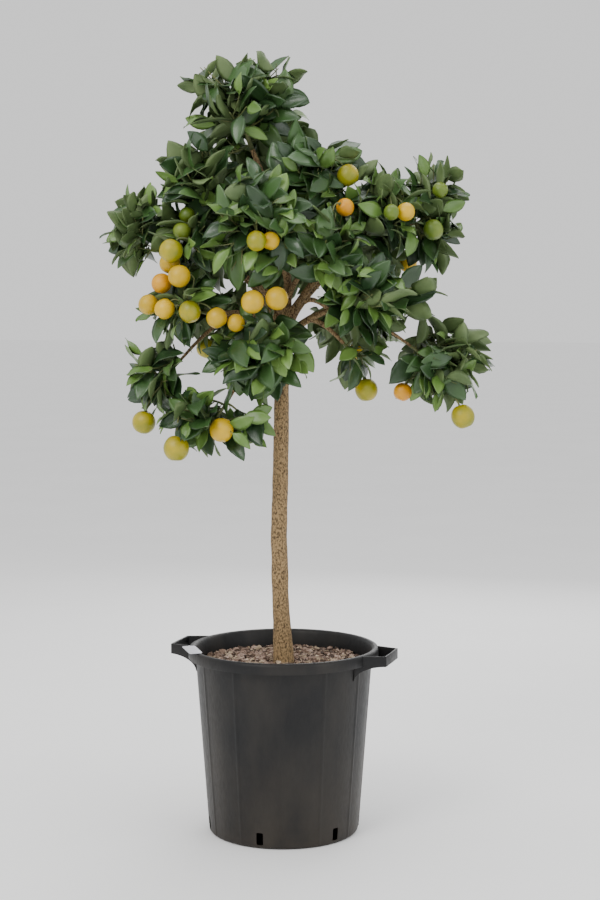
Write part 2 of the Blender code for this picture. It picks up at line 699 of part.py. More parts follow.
def build_mass(name, cells, guards):
    """One mass of foliage: a stem, twigs, fruit and leaves, fused into one solid."""
    mass = MASSES[name]
    rng = random.Random(name)
    stem = STEMS[name]
    guards = [skin for owner, skin in guards if owner != name]
    pieces = bpy.data.collections.new(f"pieces_{name}")
    bpy.context.scene.collection.children.link(pieces)
    skins = []

    def keep(mesh):
        pieces.objects.link(bpy.data.objects.new("piece", mesh))
        skins.append(skin_of(mesh))
        return skins[-1]

    stem_mesh = mesh_of(tube(stem.path, stem.radii, STEM_SIDES), "stem")
    grown = [(stem.path, skin_of(stem_mesh))]
    skins.append(grown[0][1])
    twigs = 0
    for tip in twig_tips(mass, rng):
        if twigs == round(mass.twigs * TWIG_SHARE) + len(mass.shoots):
            break
        stem_span = stem.path[-1] - stem.path[0]
        share = (tip - stem.path[0]).dot(stem_span) / stem_span.length_squared - 0.30
        start, _ = along(stem.path, min(max(share, 0.12), 0.94))
        reach = (tip - start).length
        path = bend(start, start.lerp(tip, 0.5) + Vector((0, 0, mass.arch * reach)), tip, TWIG_STATIONS)
        samples = [along(path, s / 8)[0] for s in range(2, 9)]
        if reach < 0.03 or not cells.holds(name, samples, CELL_MARGIN + TWIG_RADIUS):
            continue
        mesh = mesh_of(tube(path, even(TWIG_RADIUS, TWIG_TIP_RADIUS, len(path)), TWIG_SIDES), "twig")
        if any(skin_of(mesh).overlap(guard) for guard in guards):
            continue
        grown.append((path, keep(mesh)))
        twigs += 1
    for x, y, z, radius in mass.fruit:
        centre = Vector((x, y, z))
        spots = [along(path, s / 20)[0] for path, _ in grown for s in range(3, 19)]
        above = centre + Vector((0, 0, radius * 1.6))
        start = min(spots, key=lambda p: (p - above).length)
        stalk = [start, start.lerp(centre, 0.5) + Vector((0, 0, (start - centre).length * 0.15)), centre]
        keep(mesh_of(tube(stalk, [STALK_RADIUS] * 3, TWIG_SIDES), "stalk"))
        keep(fruit_mesh(centre, radius))
    mids = []

    def fits(frame, leaf, own):
        corners = [frame @ corner for corner in LEAF_CORNERS]
        return (
            min(((corners[-1] - m).length for m in mids), default=1.0) > LEAF_APART
            and all(within(mass, corner) for corner in corners)
            and cells.holds(name, corners, CELL_MARGIN + LEAF_THICK)
            and not any(leaf.overlap(skin) for skin in skins if skin is not own)
            and not any(leaf.overlap(guard) for guard in guards)
        )

    for path, own in grown:
        for root, heading, turn, last in leaf_places(path, rng):
            for attempt in range(LEAF_TRIES):
                frame = leaf_try(root, heading, turn + attempt * GOLDEN, last, mass, attempt, rng)
                mesh = leaf_mesh(frame)
                if fits(frame, skin_of(mesh), own):
                    mids.append(frame @ LEAF_CORNERS[-1])
                    keep(mesh)
                    break
                bpy.data.meshes.remove(mesh)
    solid = add_object(f"foliage_{name}", stem_mesh, "foliage")
    boolean(solid, pieces, "UNION")
    settle(solid, "foliage")
    solid.parent = TREE
    for piece in list(pieces.objects):
        bpy.data.objects.remove(piece)
    bpy.data.collections.remove(pieces)
    return len(mids), twigs


def skin_of(mesh):
    """A mesh's surface, ready to be tested against another's."""
    return BVHTree.FromPolygons([v.co.copy() for v in mesh.vertices], [tuple(p.vertices) for p in mesh.polygons])


def whole_body(mesh, name):
    """The mesh's largest body: what lies loose, or is a hollow sealed inside, goes."""
    bm = bmesh.new()
    bm.from_mesh(mesh)
    bmesh.ops.triangulate(bm, faces=bm.faces)
    left = set(bm.faces)
    bodies = []
    while left:
        edge = [left.pop()]
        body = set(edge)
        while edge:
            face = edge.pop()
            near = {f for e in face.edges if len(e.link_faces) == 2 for f in e.link_faces} & left
            left -= near
            body |= near
            edge += near
        bodies.append(body)
    largest = max(bodies, key=len)
    bmesh.ops.delete(bm, geom=[f for body in bodies if body is not largest for f in body], context="FACES")
    mesh = bpy.data.meshes.new(name)
    bm.to_mesh(mesh)
    bm.free()
    return mesh


def stem_of(mass, bough):
    """A mass's stem: it starts a fine gap past its bough's tip and runs through the middle."""
    start, heading = along(bough.path, 1.0)
    start = start + heading * CLEAR
    middle = Vector(mass.middle)
    end = middle + (middle - start) * 0.45
    end.z -= 0.3 * max(0.0, mass.arch) * (end - start).length
    path = bend(start, start + heading * (end - start).length * 0.5, end, 5)
    return Limb(path, even(bough.radii[-1], STEM_TIP_RADIUS, len(path)))


TREE = bpy.data.objects.new("tree", None)
TREE_PARTS.objects.link(TREE)
TREE.rotation_euler.z = CROWN_TURN

make_pot()
make_mix()
make_label()
LIMBS = make_limbs()
build_limbs(LIMBS)
STEMS = {name: stem_of(mass, LIMBS[name]) for name, mass in MASSES.items()}
CELLS = Cells()
GUARDS = guards_for()
for mass_name in MASSES:
    leaf_count, twig_count = build_mass(mass_name, CELLS, GUARDS)
    print(mass_name, twig_count, "twigs", leaf_count, "leaves")
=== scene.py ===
"""The looks of a potted fukushu kumquat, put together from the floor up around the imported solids."""

import json
import math
import random
from collections import namedtuple

import bmesh
import bpy
import numpy as np
from mathutils import Matrix, Vector, noise
from mathutils.bvhtree import BVHTree
from mathutils.geometry import interpolate_bezier

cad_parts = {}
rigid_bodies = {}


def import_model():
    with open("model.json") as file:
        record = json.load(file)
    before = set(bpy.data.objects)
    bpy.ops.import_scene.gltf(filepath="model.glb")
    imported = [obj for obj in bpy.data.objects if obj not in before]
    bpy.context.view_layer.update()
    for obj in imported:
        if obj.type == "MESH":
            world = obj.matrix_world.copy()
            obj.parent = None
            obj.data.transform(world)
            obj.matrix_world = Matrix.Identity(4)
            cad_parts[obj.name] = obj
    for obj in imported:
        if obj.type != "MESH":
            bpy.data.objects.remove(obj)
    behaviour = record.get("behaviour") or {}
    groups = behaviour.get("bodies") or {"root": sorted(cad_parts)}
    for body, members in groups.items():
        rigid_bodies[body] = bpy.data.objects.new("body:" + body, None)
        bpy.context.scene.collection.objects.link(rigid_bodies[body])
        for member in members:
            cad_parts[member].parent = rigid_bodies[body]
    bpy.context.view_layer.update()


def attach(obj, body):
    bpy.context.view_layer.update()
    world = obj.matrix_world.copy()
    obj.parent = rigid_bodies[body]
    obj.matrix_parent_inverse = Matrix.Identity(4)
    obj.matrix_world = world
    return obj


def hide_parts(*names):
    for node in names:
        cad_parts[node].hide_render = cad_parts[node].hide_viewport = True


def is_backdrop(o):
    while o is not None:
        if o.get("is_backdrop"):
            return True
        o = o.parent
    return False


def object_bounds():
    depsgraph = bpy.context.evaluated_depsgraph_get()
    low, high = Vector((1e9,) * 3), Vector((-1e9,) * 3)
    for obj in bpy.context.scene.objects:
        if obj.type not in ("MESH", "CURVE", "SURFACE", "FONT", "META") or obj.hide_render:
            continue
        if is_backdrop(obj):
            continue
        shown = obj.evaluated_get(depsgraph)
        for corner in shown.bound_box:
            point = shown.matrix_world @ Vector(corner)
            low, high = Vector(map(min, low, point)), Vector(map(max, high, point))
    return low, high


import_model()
scene = bpy.context.scene

# The view and the light. The camera stands 3.2 m from the stem at a little under a metre, and looks slightly
# down. Four large soft lamps stand round the tree under an even white sky. The tree's own frame (across,
# away, up) is turned by 18 degrees from the frame of the pot's handles.
TURN = Matrix.Rotation(math.radians(18), 4, "Z")
EYE = Vector((0.0, -3.18, 0.972))
EYE_YAW = math.radians(-0.56)
EYE_TILT = math.radians(90 - 4.5)
FILM_HEIGHT = 36.0
LENS = 68.0
# Name, place, target, width, watts, colour.
LAMPS = (
    ("key", (-1.7, -2.3, 2.9), (0, 0, 0.9), 1.6, 62, (1.0, 0.985, 0.96)),
    ("fill", (2.4, -2.0, 1.7), (0, 0, 0.8), 2.2, 24, (0.95, 0.98, 1.0)),
    ("top", (0.2, 0.4, 3.2), (0, 0, 1.0), 2.0, 34, (1, 1, 1)),
    ("back", (0.8, 2.6, 1.8), (0, 0, 1.0), 2.0, 30, (1, 1, 1)),
)
camera = bpy.data.objects.new("camera", bpy.data.cameras.new("camera"))
scene.collection.objects.link(camera)
camera.data.sensor_fit = "VERTICAL"
camera.data.sensor_height = FILM_HEIGHT
camera.data.lens = LENS
camera.matrix_world = (
    TURN @ Matrix.Translation(EYE) @ Matrix.Rotation(EYE_YAW, 4, "Z") @ Matrix.Rotation(EYE_TILT, 4, "X")
)
scene.camera = camera
for name, place, target, width, watts, colour in LAMPS:
    lamp = bpy.data.lights.new(name, "AREA")
    lamp.size = width
    lamp.energy = watts
    lamp.color = colour
    stand = bpy.data.objects.new(name, lamp)
    scene.collection.objects.link(stand)
    look = (Vector(target) - Vector(place)).to_track_quat("-Z", "Y").to_matrix().to_4x4()
    stand.matrix_world = TURN @ Matrix.Translation(place) @ look
world = bpy.data.worlds.new("studio")
world.use_nodes = True
world.node_tree.nodes["Background"].inputs["Color"].default_value = (1.0, 1.0, 1.0, 1)
world.node_tree.nodes["Background"].inputs["Strength"].default_value = 1.0
scene.world = world

# The floor is a plain pale studio sweep of painted board. It lies just under the pot's foot, runs out of
# sight all round, and isn't a part of the tree.
FLOOR_HALF = 60.0
FLOOR_DROP = 0.0005


def mottled_finish(
    name, dark, light, scale, rough, bump=0.1, bump_scale=4.0, stretch=(1, 1, 1), spread=(0.35, 0.65), **flat
):
    """A Principled material whose colour drifts from dark to light by noise, with a finer noise as its relief."""
    made = bpy.data.materials.new(name)
    made.use_nodes = True
    nodes, links = made.node_tree.nodes, made.node_tree.links
    shader = nodes["Principled BSDF"]
    where = nodes.new("ShaderNodeTexCoord")
    place = nodes.new("ShaderNodeMapping")
    place.inputs["Scale"].default_value = stretch
    links.new(where.outputs["Object"], place.inputs["Vector"])
    drift = nodes.new("ShaderNodeTexNoise")
    drift.inputs["Scale"].default_value = scale
    drift.inputs["Detail"].default_value = 5.0
    links.new(place.outputs["Vector"], drift.inputs["Vector"])
    ramp = nodes.new("ShaderNodeValToRGB")
    ramp.color_ramp.elements[0].position, ramp.color_ramp.elements[1].position = spread
    ramp.color_ramp.elements[0].color = (*dark, 1)
    ramp.color_ramp.elements[1].color = (*light, 1)
    links.new(drift.outputs["Fac"], ramp.inputs["Fac"])
    links.new(ramp.outputs["Color"], shader.inputs["Base Color"])
    fine = nodes.new("ShaderNodeTexNoise")
    fine.inputs["Scale"].default_value = scale * bump_scale
    fine.inputs["Detail"].default_value = 4.0
    links.new(place.outputs["Vector"], fine.inputs["Vector"])
    shine = nodes.new("ShaderNodeMapRange")
    shine.inputs["To Min"].default_value, shine.inputs["To Max"].default_value = rough
    links.new(fine.outputs["Fac"], shine.inputs["Value"])
    links.new(shine.outputs["Result"], shader.inputs["Roughness"])
    relief = nodes.new("ShaderNodeBump")
    relief.inputs["Strength"].default_value = bump
    relief.inputs["Distance"].default_value = 0.001
    links.new(fine.outputs["Fac"], relief.inputs["Height"])
    links.new(relief.outputs["Normal"], shader.inputs["Normal"])
    for socket, value in flat.items():
        shader.inputs[socket.replace("_", " ")].default_value = value
    return made


floor_bm = bmesh.new()
bmesh.ops.create_grid(floor_bm, x_segments=2, y_segments=2, size=FLOOR_HALF)
floor_mesh = bpy.data.meshes.new("floor")
floor_bm.to_mesh(floor_mesh)
floor_bm.free()
floor_paint = mottled_finish("floor", (0.93, 0.93, 0.93), (0.95, 0.95, 0.95), 2.0, (0.85, 0.95), 0.0)
floor_mesh.materials.append(floor_paint)
floor = bpy.data.objects.new("floor", floor_mesh)
scene.collection.objects.link(floor)
floor.location.z = -FLOOR_DROP
floor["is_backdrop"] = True

# The pot is injection moulded in matte black plastic: a slightly tapered drum with a rolled rim and a skirt
# under it, twelve faint seams down the wall and six drain slots at the foot. Dust greys it, and browns it
# low down.
POT_PROFILE = (
    (0.002, 0.0036), (0.1380, 0.0036), (0.1395, 0.0060), (0.1628, 0.3250), (0.1640, 0.3320), (0.1665, 0.3440),
    (0.1680, 0.3478), (0.1700, 0.3500), (0.1725, 0.3510), (0.1755, 0.3508), (0.1778, 0.3496), (0.1793, 0.3472),
    (0.1799, 0.3440), (0.1800, 0.3400), (0.1799, 0.3316), (0.1794, 0.3310), (0.1777, 0.3310), (0.1772, 0.3316),
    (0.1772, 0.3430), (0.1750, 0.3465), (0.1725, 0.3470), (0.1690, 0.3430), (0.1658, 0.3300), (0.1652, 0.3200),
    (0.1417, 0.0060), (0.1412, 0.0030), (0.1395, 0.0008), (0.1370, 0.0), (0.1300, 0.0), (0.002, 0.0),
)
POT_STEPS = 360
WALL_LOW, WALL_HIGH = 0.006, 0.331
WALL_MIDDLE_RADIUS, WALL_TAPER = 0.1405, 0.0726
SEAM_SPACING, SEAM_HALF, SEAM_RISE = 30, 1.3, 0.0013
WALL_WAVE = 0.0005
SLOTS = 6
SLOT_FIRST = 30
SLOT_SIZE = (0.03, 0.013, 0.0235)
SLOT_SPOT = (0.1415, 0, 0.01825)
SLOT_CORNER = 0.002
DUST_TOP = 0.20


def join_to_tree(name, mesh, finishes, replaced=()):
    """Puts a mesh in the scene as a piece of the potted tree, which is all one body."""
    piece = bpy.data.objects.new(name, mesh)
    scene.collection.objects.link(piece)
    for finish in finishes:
        mesh.materials.append(finish)
    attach(piece, "root")
    if replaced:
        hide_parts(*replaced)
    return piece


pot_bm = bmesh.new()
pot_line = [pot_bm.verts.new((radius, 0, height)) for radius, height in POT_PROFILE]
pot_edges = [pot_bm.edges.new(ends) for ends in zip(pot_line, pot_line[1:] + pot_line[:1])]
bmesh.ops.spin(
    pot_bm, geom=pot_line + pot_edges, cent=(0, 0, 0), axis=(0, 0, 1), angle=math.tau, steps=POT_STEPS,
    use_merge=True,
)
bmesh.ops.remove_doubles(pot_bm, verts=pot_bm.verts, dist=0.00001)
bmesh.ops.recalc_face_normals(pot_bm, faces=pot_bm.faces)
for vert in pot_bm.verts:
    flat = Vector((vert.co.x, vert.co.y, 0))
    outside = flat.length > WALL_MIDDLE_RADIUS + (vert.co.z - WALL_LOW) * WALL_TAPER
    if WALL_LOW < vert.co.z < WALL_HIGH and outside:
        turn = math.degrees(math.atan2(vert.co.y, vert.co.x)) - SEAM_SPACING / 2
        off = abs((turn + SEAM_SPACING / 2) % SEAM_SPACING - SEAM_SPACING / 2)
        wave = WALL_WAVE * noise.noise(Vector((turn * 0.05, vert.co.z * 6, 3)))
        vert.co += flat.normalized() * (SEAM_RISE * max(0.0, 1 - off / SEAM_HALF) + wave)
pot_mesh = bpy.data.meshes.new("pot_shell")
pot_bm.to_mesh(pot_mesh)
pot_bm.free()
pot_mesh.shade_smooth()
pot_mesh.set_sharp_from_angle(angle=math.radians(50))
black_plastic = mottled_finish(
    "black_plastic", (0.0060, 0.0060, 0.0066), (0.0210, 0.0185, 0.0160), 13.0, (0.36, 0.62), 0.35, 14.0,
    (1, 1, 0.45), (0.42, 0.72), Specular_IOR_Level=0.30,
)
dust_nodes, dust_links = black_plastic.node_tree.nodes, black_plastic.node_tree.links
plastic_colour = dust_nodes["Principled BSDF"].inputs["Base Color"]
dust_place = dust_nodes.new("ShaderNodeTexCoord")
dust_height = dust_nodes.new("ShaderNodeSeparateXYZ")
dust_links.new(dust_place.outputs["Object"], dust_height.inputs["Vector"])
dust_fade = dust_nodes.new("ShaderNodeMapRange")
dust_fade.inputs["From Min"].default_value, dust_fade.inputs["From Max"].default_value = DUST_TOP, 0.0
dust_links.new(dust_height.outputs["Z"], dust_fade.inputs["Value"])
dust_patches = dust_nodes.new("ShaderNodeTexNoise")
dust_patches.inputs["Scale"].default_value = 24.0
dust_patches.inputs["Detail"].default_value = 8.0
dust_links.new(dust_place.outputs["Object"], dust_patches.inputs["Vector"])
dust_amount = dust_nodes.new("ShaderNodeMath")
dust_amount.operation = "MULTIPLY"
dust_links.new(dust_fade.outputs["Result"], dust_amount.inputs[0])
dust_links.new(dust_patches.outputs["Fac"], dust_amount.inputs[1])
dusty = dust_nodes.new("ShaderNodeMixRGB")
dusty.inputs["Color2"].default_value = (0.038, 0.030, 0.022, 1)
dust_links.new(dust_amount.outputs["Value"], dusty.inputs["Fac"])
dust_links.new(plastic_colour.links[0].from_socket, dusty.inputs["Color1"])
dust_links.new(dusty.outputs["Color"], plastic_colour)
pot_shell = join_to_tree("pot_shell", pot_mesh, [black_plastic], ["pot"])
slot_bm = bmesh.new()
for index in range(SLOTS):
    spot = (
        Matrix.Rotation(math.radians(SLOT_FIRST + 360 / SLOTS * index), 4, "Z")
        @ Matrix.Translation(SLOT_SPOT)
        @ Matrix.Diagonal((*SLOT_SIZE, 1))
    )
    bmesh.ops.create_cube(slot_bm, size=1.0, matrix=spot)
slot_edges = [
    edge for edge in slot_bm.edges
    if abs(edge.verts[0].co.z - edge.verts[1].co.z) < 0.001
    and abs(edge.verts[0].co.xy.length - edge.verts[1].co.xy.length) > 0.01
]
bmesh.ops.bevel(
    slot_bm, geom=slot_edges, offset=SLOT_CORNER, segments=2, profile=0.5, affect="EDGES", material=-1,
)
slot_mesh = bpy.data.meshes.new("slot_cutter")
slot_bm.to_mesh(slot_mesh)
slot_bm.free()
slot_cutter = bpy.data.objects.new("slot_cutter", slot_mesh)
scene.collection.objects.link(slot_cutter)
slots = pot_shell.modifiers.new("slots", "BOOLEAN")
slots.operation = "DIFFERENCE"
slots.solver = "EXACT"
slots.object = slot_cutter
bpy.context.view_layer.update()
slotted = bpy.data.meshes.new_from_object(pot_shell.evaluated_get(bpy.context.evaluated_depsgraph_get()))
pot_shell.modifiers.clear()
pot_shell.data = slotted
bpy.data.objects.remove(slot_cutter)

# The handles are moulded with the pot, of the same black plastic. Each is a strap bent to a trapezium, level
# with the rim, with a web under each of its legs that curves in to the wall.
STRAP_OUTLINE = (
    (0.1700, -0.0560), (0.2120, -0.0430), (0.2125, 0.0), (0.2120, 0.0430), (0.1700, 0.0560),
    (0.1700, 0.0520), (0.2080, 0.0402), (0.2085, 0.0), (0.2080, -0.0402), (0.1700, -0.0520),
)
STRAP_LOW, STRAP_HIGH = 0.3306, 0.3498
WEB_ROOT, WEB_TIP = (0.1545, 0.0575), (0.2103, 0.0418)
WEB_DROP, WEB_SUNK, WEB_THICK = 0.028, 0.002, 0.0036
WEB_STEPS = 12
HANDLE_EDGE = 0.0009
handle_bm = bmesh.new()


def moulded_wall(outline, through, side):
    """A flat outline extruded to a wall, and turned to its side of the pot."""
    base = [handle_bm.verts.new(point) for point in outline]
    face = handle_bm.faces.new(base)
    grown = bmesh.ops.extrude_face_region(handle_bm, geom=[face, *face.edges, *face.verts])["geom"]
    lifted = [item for item in grown if isinstance(item, bmesh.types.BMVert)]
    bmesh.ops.translate(handle_bm, vec=through, verts=lifted)
    bmesh.ops.rotate(handle_bm, cent=(0, 0, 0), matrix=Matrix.Rotation(side, 3, "Z"), verts=base + lifted)


for side in (0, math.pi):
    moulded_wall([(x, y, STRAP_LOW) for x, y in STRAP_OUTLINE], (0, 0, STRAP_HIGH - STRAP_LOW), side)
    for end in (-1, 1):
        root = Vector((WEB_ROOT[0], end * WEB_ROOT[1], STRAP_LOW))
        tip = Vector((WEB_TIP[0], end * WEB_TIP[1], STRAP_LOW))
        reach = (tip - root).length
        way = (tip - root).normalized()
        across = Vector((-way.y, way.x, 0))
        line = [(0, WEB_SUNK)]
        for step in range(WEB_STEPS + 1):
            angle = step / WEB_STEPS * math.pi / 2
            line.append((reach * (1 - math.cos(angle)), -WEB_DROP * (1 - math.sin(angle))))
        line.append((reach, WEB_SUNK))
        outline = [root + way * out + Vector((0, 0, up)) - across * (WEB_THICK / 2) for out, up in line]
        moulded_wall(outline, across * WEB_THICK, side)
bmesh.ops.recalc_face_normals(handle_bm, faces=handle_bm.faces)
bmesh.ops.bevel(
    handle_bm, geom=[edge for edge in handle_bm.edges if edge.calc_face_angle(0) > 0.7], offset=HANDLE_EDGE,
    segments=3, profile=0.5, affect="EDGES", material=-1,
)
handle_mesh = bpy.data.meshes.new("handles")
handle_bm.to_mesh(handle_mesh)
handle_bm.free()
handle_mesh.shade_smooth()
handle_mesh.set_sharp_from_angle(angle=math.radians(40))
join_to_tree("handles", handle_mesh, [black_plastic], ["pot"])

# The mulch is a dry top dressing of bark and lava chips, pinkish brown to tan and grey, with a few straws. It
# lies loose on a rough bed of dark potting mix, a little under the rim.
MIX_TOP = 0.3175
MIX_RADIUS = 0.1612
MIX_SUNK = 0.0012
CHIPS, STRAWS = 3200, 34
CHIP_MIDDLE, CHIP_LARGEST, CHIP_SPREAD = 0.0052, 0.0125, 0.38
CHIP_LIFT = (-0.0005, 0.0035)
CHIP_LEAN, CHIP_RAGGED = 0.33, 0.13
STEM_CLEAR = 0.021
STRAW_LIFT = 0.005
# Name, dark, light and share of the chips.
CHIP_TONES = (
    ("chip_dark", (0.035, 0.021, 0.014), (0.085, 0.052, 0.035), 24),
    ("chip_brown", (0.12, 0.072, 0.048), (0.22, 0.145, 0.105), 36),
    ("chip_pink", (0.27, 0.18, 0.14), (0.42, 0.31, 0.25), 28),
    ("chip_tan", (0.36, 0.27, 0.18), (0.54, 0.43, 0.31), 12),
)
STRAW_TONE = 3
rng = random.Random(31)
bed_bm = bmesh.new()
bmesh.ops.create_circle(bed_bm, cap_ends=True, cap_tris=True, radius=MIX_RADIUS, segments=96)
bed_spokes = [edge for edge in bed_bm.edges if not edge.is_boundary]
bmesh.ops.subdivide_edges(bed_bm, edges=bed_spokes, cuts=24, use_grid_fill=True)
for vert in bed_bm.verts:
    lump = noise.noise(vert.co * 60) * 0.0012 + noise.noise(vert.co * 14) * 0.0016
    vert.co.z = MIX_TOP - MIX_SUNK + (lump if vert.co.xy.length < MIX_RADIUS - 0.002 else 0)
bed_mesh = bpy.data.meshes.new("mix_bed")
bed_bm.to_mesh(bed_mesh)
bed_bm.free()
mix_finish = mottled_finish("mix", (0.035, 0.023, 0.016), (0.13, 0.085, 0.055), 160.0, (0.85, 1.0), 1.0, 3.0)
join_to_tree("mix_bed", bed_mesh, [mix_finish], ["potting_mix"])
chip_bm = bmesh.new()
for chip in range(CHIPS):
    away = MIX_RADIUS * math.sqrt(rng.random()) * 0.985
    turn = rng.uniform(0, math.tau)
    length = min(rng.lognormvariate(math.log(CHIP_MIDDLE), CHIP_SPREAD), CHIP_LARGEST)
    if away < STEM_CLEAR + length / 2:
        continue
    shape = Vector((length, length * rng.uniform(0.45, 0.9), length * rng.uniform(0.22, 0.5)))
    lift = MIX_TOP + rng.uniform(*CHIP_LIFT) + shape.z * 0.25
    out = min(away, MIX_RADIUS - length * 0.45)
    spot = (
        Matrix.Translation((out * math.cos(turn), out * math.sin(turn), lift))
        @ Matrix.Rotation(rng.uniform(0, math.tau), 4, "Z")
        @ Matrix.Rotation(rng.gauss(0, CHIP_LEAN), 4, "X")
        @ Matrix.Rotation(rng.gauss(0, CHIP_LEAN), 4, "Y")
        @ Matrix.Diagonal((*shape, 1))
    )
    tone = rng.choices(range(4), [share for *_, share in CHIP_TONES])[0]
    for vert in bmesh.ops.create_cube(chip_bm, size=1.0, matrix=spot)["verts"]:
        vert.co += Vector([rng.uniform(-1, 1) for _ in range(3)]) * length * CHIP_RAGGED
        for face in vert.link_faces:
            face.material_index = tone
for straw in range(STRAWS):
    away, turn = MIX_RADIUS * math.sqrt(rng.random()) * 0.85, rng.uniform(0, math.tau)
    spot = (
        Matrix.Translation((away * math.cos(turn), away * math.sin(turn), MIX_TOP + STRAW_LIFT))
        @ Matrix.Rotation(rng.uniform(0, math.tau), 4, "Z")
        @ Matrix.Rotation(rng.gauss(0, 0.12), 4, "Y")
        @ Matrix.Diagonal((rng.uniform(0.018, 0.036), 0.0011, 0.0009, 1))
    )
    for vert in bmesh.ops.create_cube(chip_bm, size=1.0, matrix=spot)["verts"]:
        for face in vert.link_faces:
            face.material_index = STRAW_TONE
chip_mesh = bpy.data.meshes.new("mulch_chips")
chip_bm.to_mesh(chip_mesh)
chip_bm.free()
chip_finishes = [mottled_finish(name, dark, light, 90.0, (0.8, 1.0), 0.6, 4.0) for name, dark, light, _ in CHIP_TONES]
join_to_tree("mulch_chips", chip_mesh, chip_finishes)

# The plant label is a plain strip of pale sheet plastic with narrowed ends. It lies loose across the rim's
# top, by the left handle, and carries no writing.
LABEL_LONG, LABEL_WIDE, LABEL_THICK = 0.072, 0.025, 0.0008
LABEL_RADIUS, LABEL_HEIGHT = 0.1765, 0.3520
LABEL_AZIMUTH = math.radians(213)
LABEL_NARROWED, LABEL_END = 0.16, 0.86
label_bm = bmesh.new()
bmesh.ops.create_grid(label_bm, x_segments=18, y_segments=4, size=0.5)
for vert in label_bm.verts:
    x, y = vert.co.x * LABEL_LONG, vert.co.y * LABEL_WIDE
    narrow = 1 - LABEL_NARROWED * max(0.0, abs(x) / (LABEL_LONG / 2) - LABEL_END) / (1 - LABEL_END)
    vert.co = Vector((x, y * narrow, 0.00012 * math.cos(x * 40)))
label_spot = (LABEL_RADIUS * math.cos(LABEL_AZIMUTH), LABEL_RADIUS * math.sin(LABEL_AZIMUTH), LABEL_HEIGHT)
bmesh.ops.transform(
    label_bm, verts=label_bm.verts,
    matrix=Matrix.Translation(label_spot) @ Matrix.Rotation(LABEL_AZIMUTH + math.pi / 2, 4, "Z"),
)
label_mesh = bpy.data.meshes.new("plant_label")
label_bm.to_mesh(label_mesh)
label_bm.free()
label_mesh.shade_smooth()
label_finish = mottled_finish("label", (0.56, 0.56, 0.62), (0.70, 0.70, 0.75), 60.0, (0.35, 0.5), 0.05, 5.0)
label = join_to_tree("plant_label", label_mesh, [label_finish], ["label"])
sheet = label.modifiers.new("thickness", "SOLIDIFY")
sheet.thickness = LABEL_THICK

# The stem and boughs are one wood with rough tan bark, furrowed lengthwise. The clear stem leans a little
# and swells at its foot, and each mass of foliage has its own bough. Only the relief is finer than in the
# solids.
TRUNK_POINTS = (
    (0.000, 0.000, 0.3165), (-0.001, 0.000, 0.345), (-0.006, 0.000, 0.450), (-0.0085, 0.000, 0.560),
    (-0.006, 0.000, 0.660), (-0.004, 0.000, 0.760), (-0.003, 0.002, 0.860), (0.003, 0.004, 0.930),
    (0.008, 0.004, 0.990),
)
TRUNK_FOOT_RADIUS, TRUNK_TOP_RADIUS = 0.0165, 0.0130
FLARE, FLARE_HEIGHT = 0.0035, 0.030
CLEAR = 0.0003
CHILD_SHARE, BOUGH_RADIUS, BOUGH_TAPER = 0.78, 0.0075, 0.62
BOUGH_STATIONS = 6
TRUNK_RINGS, TRUNK_SIDES = 230, 44
BOUGH_RINGS, BOUGH_SIDES = 28, 16
COLLAR = 0.35
Mass = namedtuple("Mass", "parent share middle half arch twigs shoots fruit")
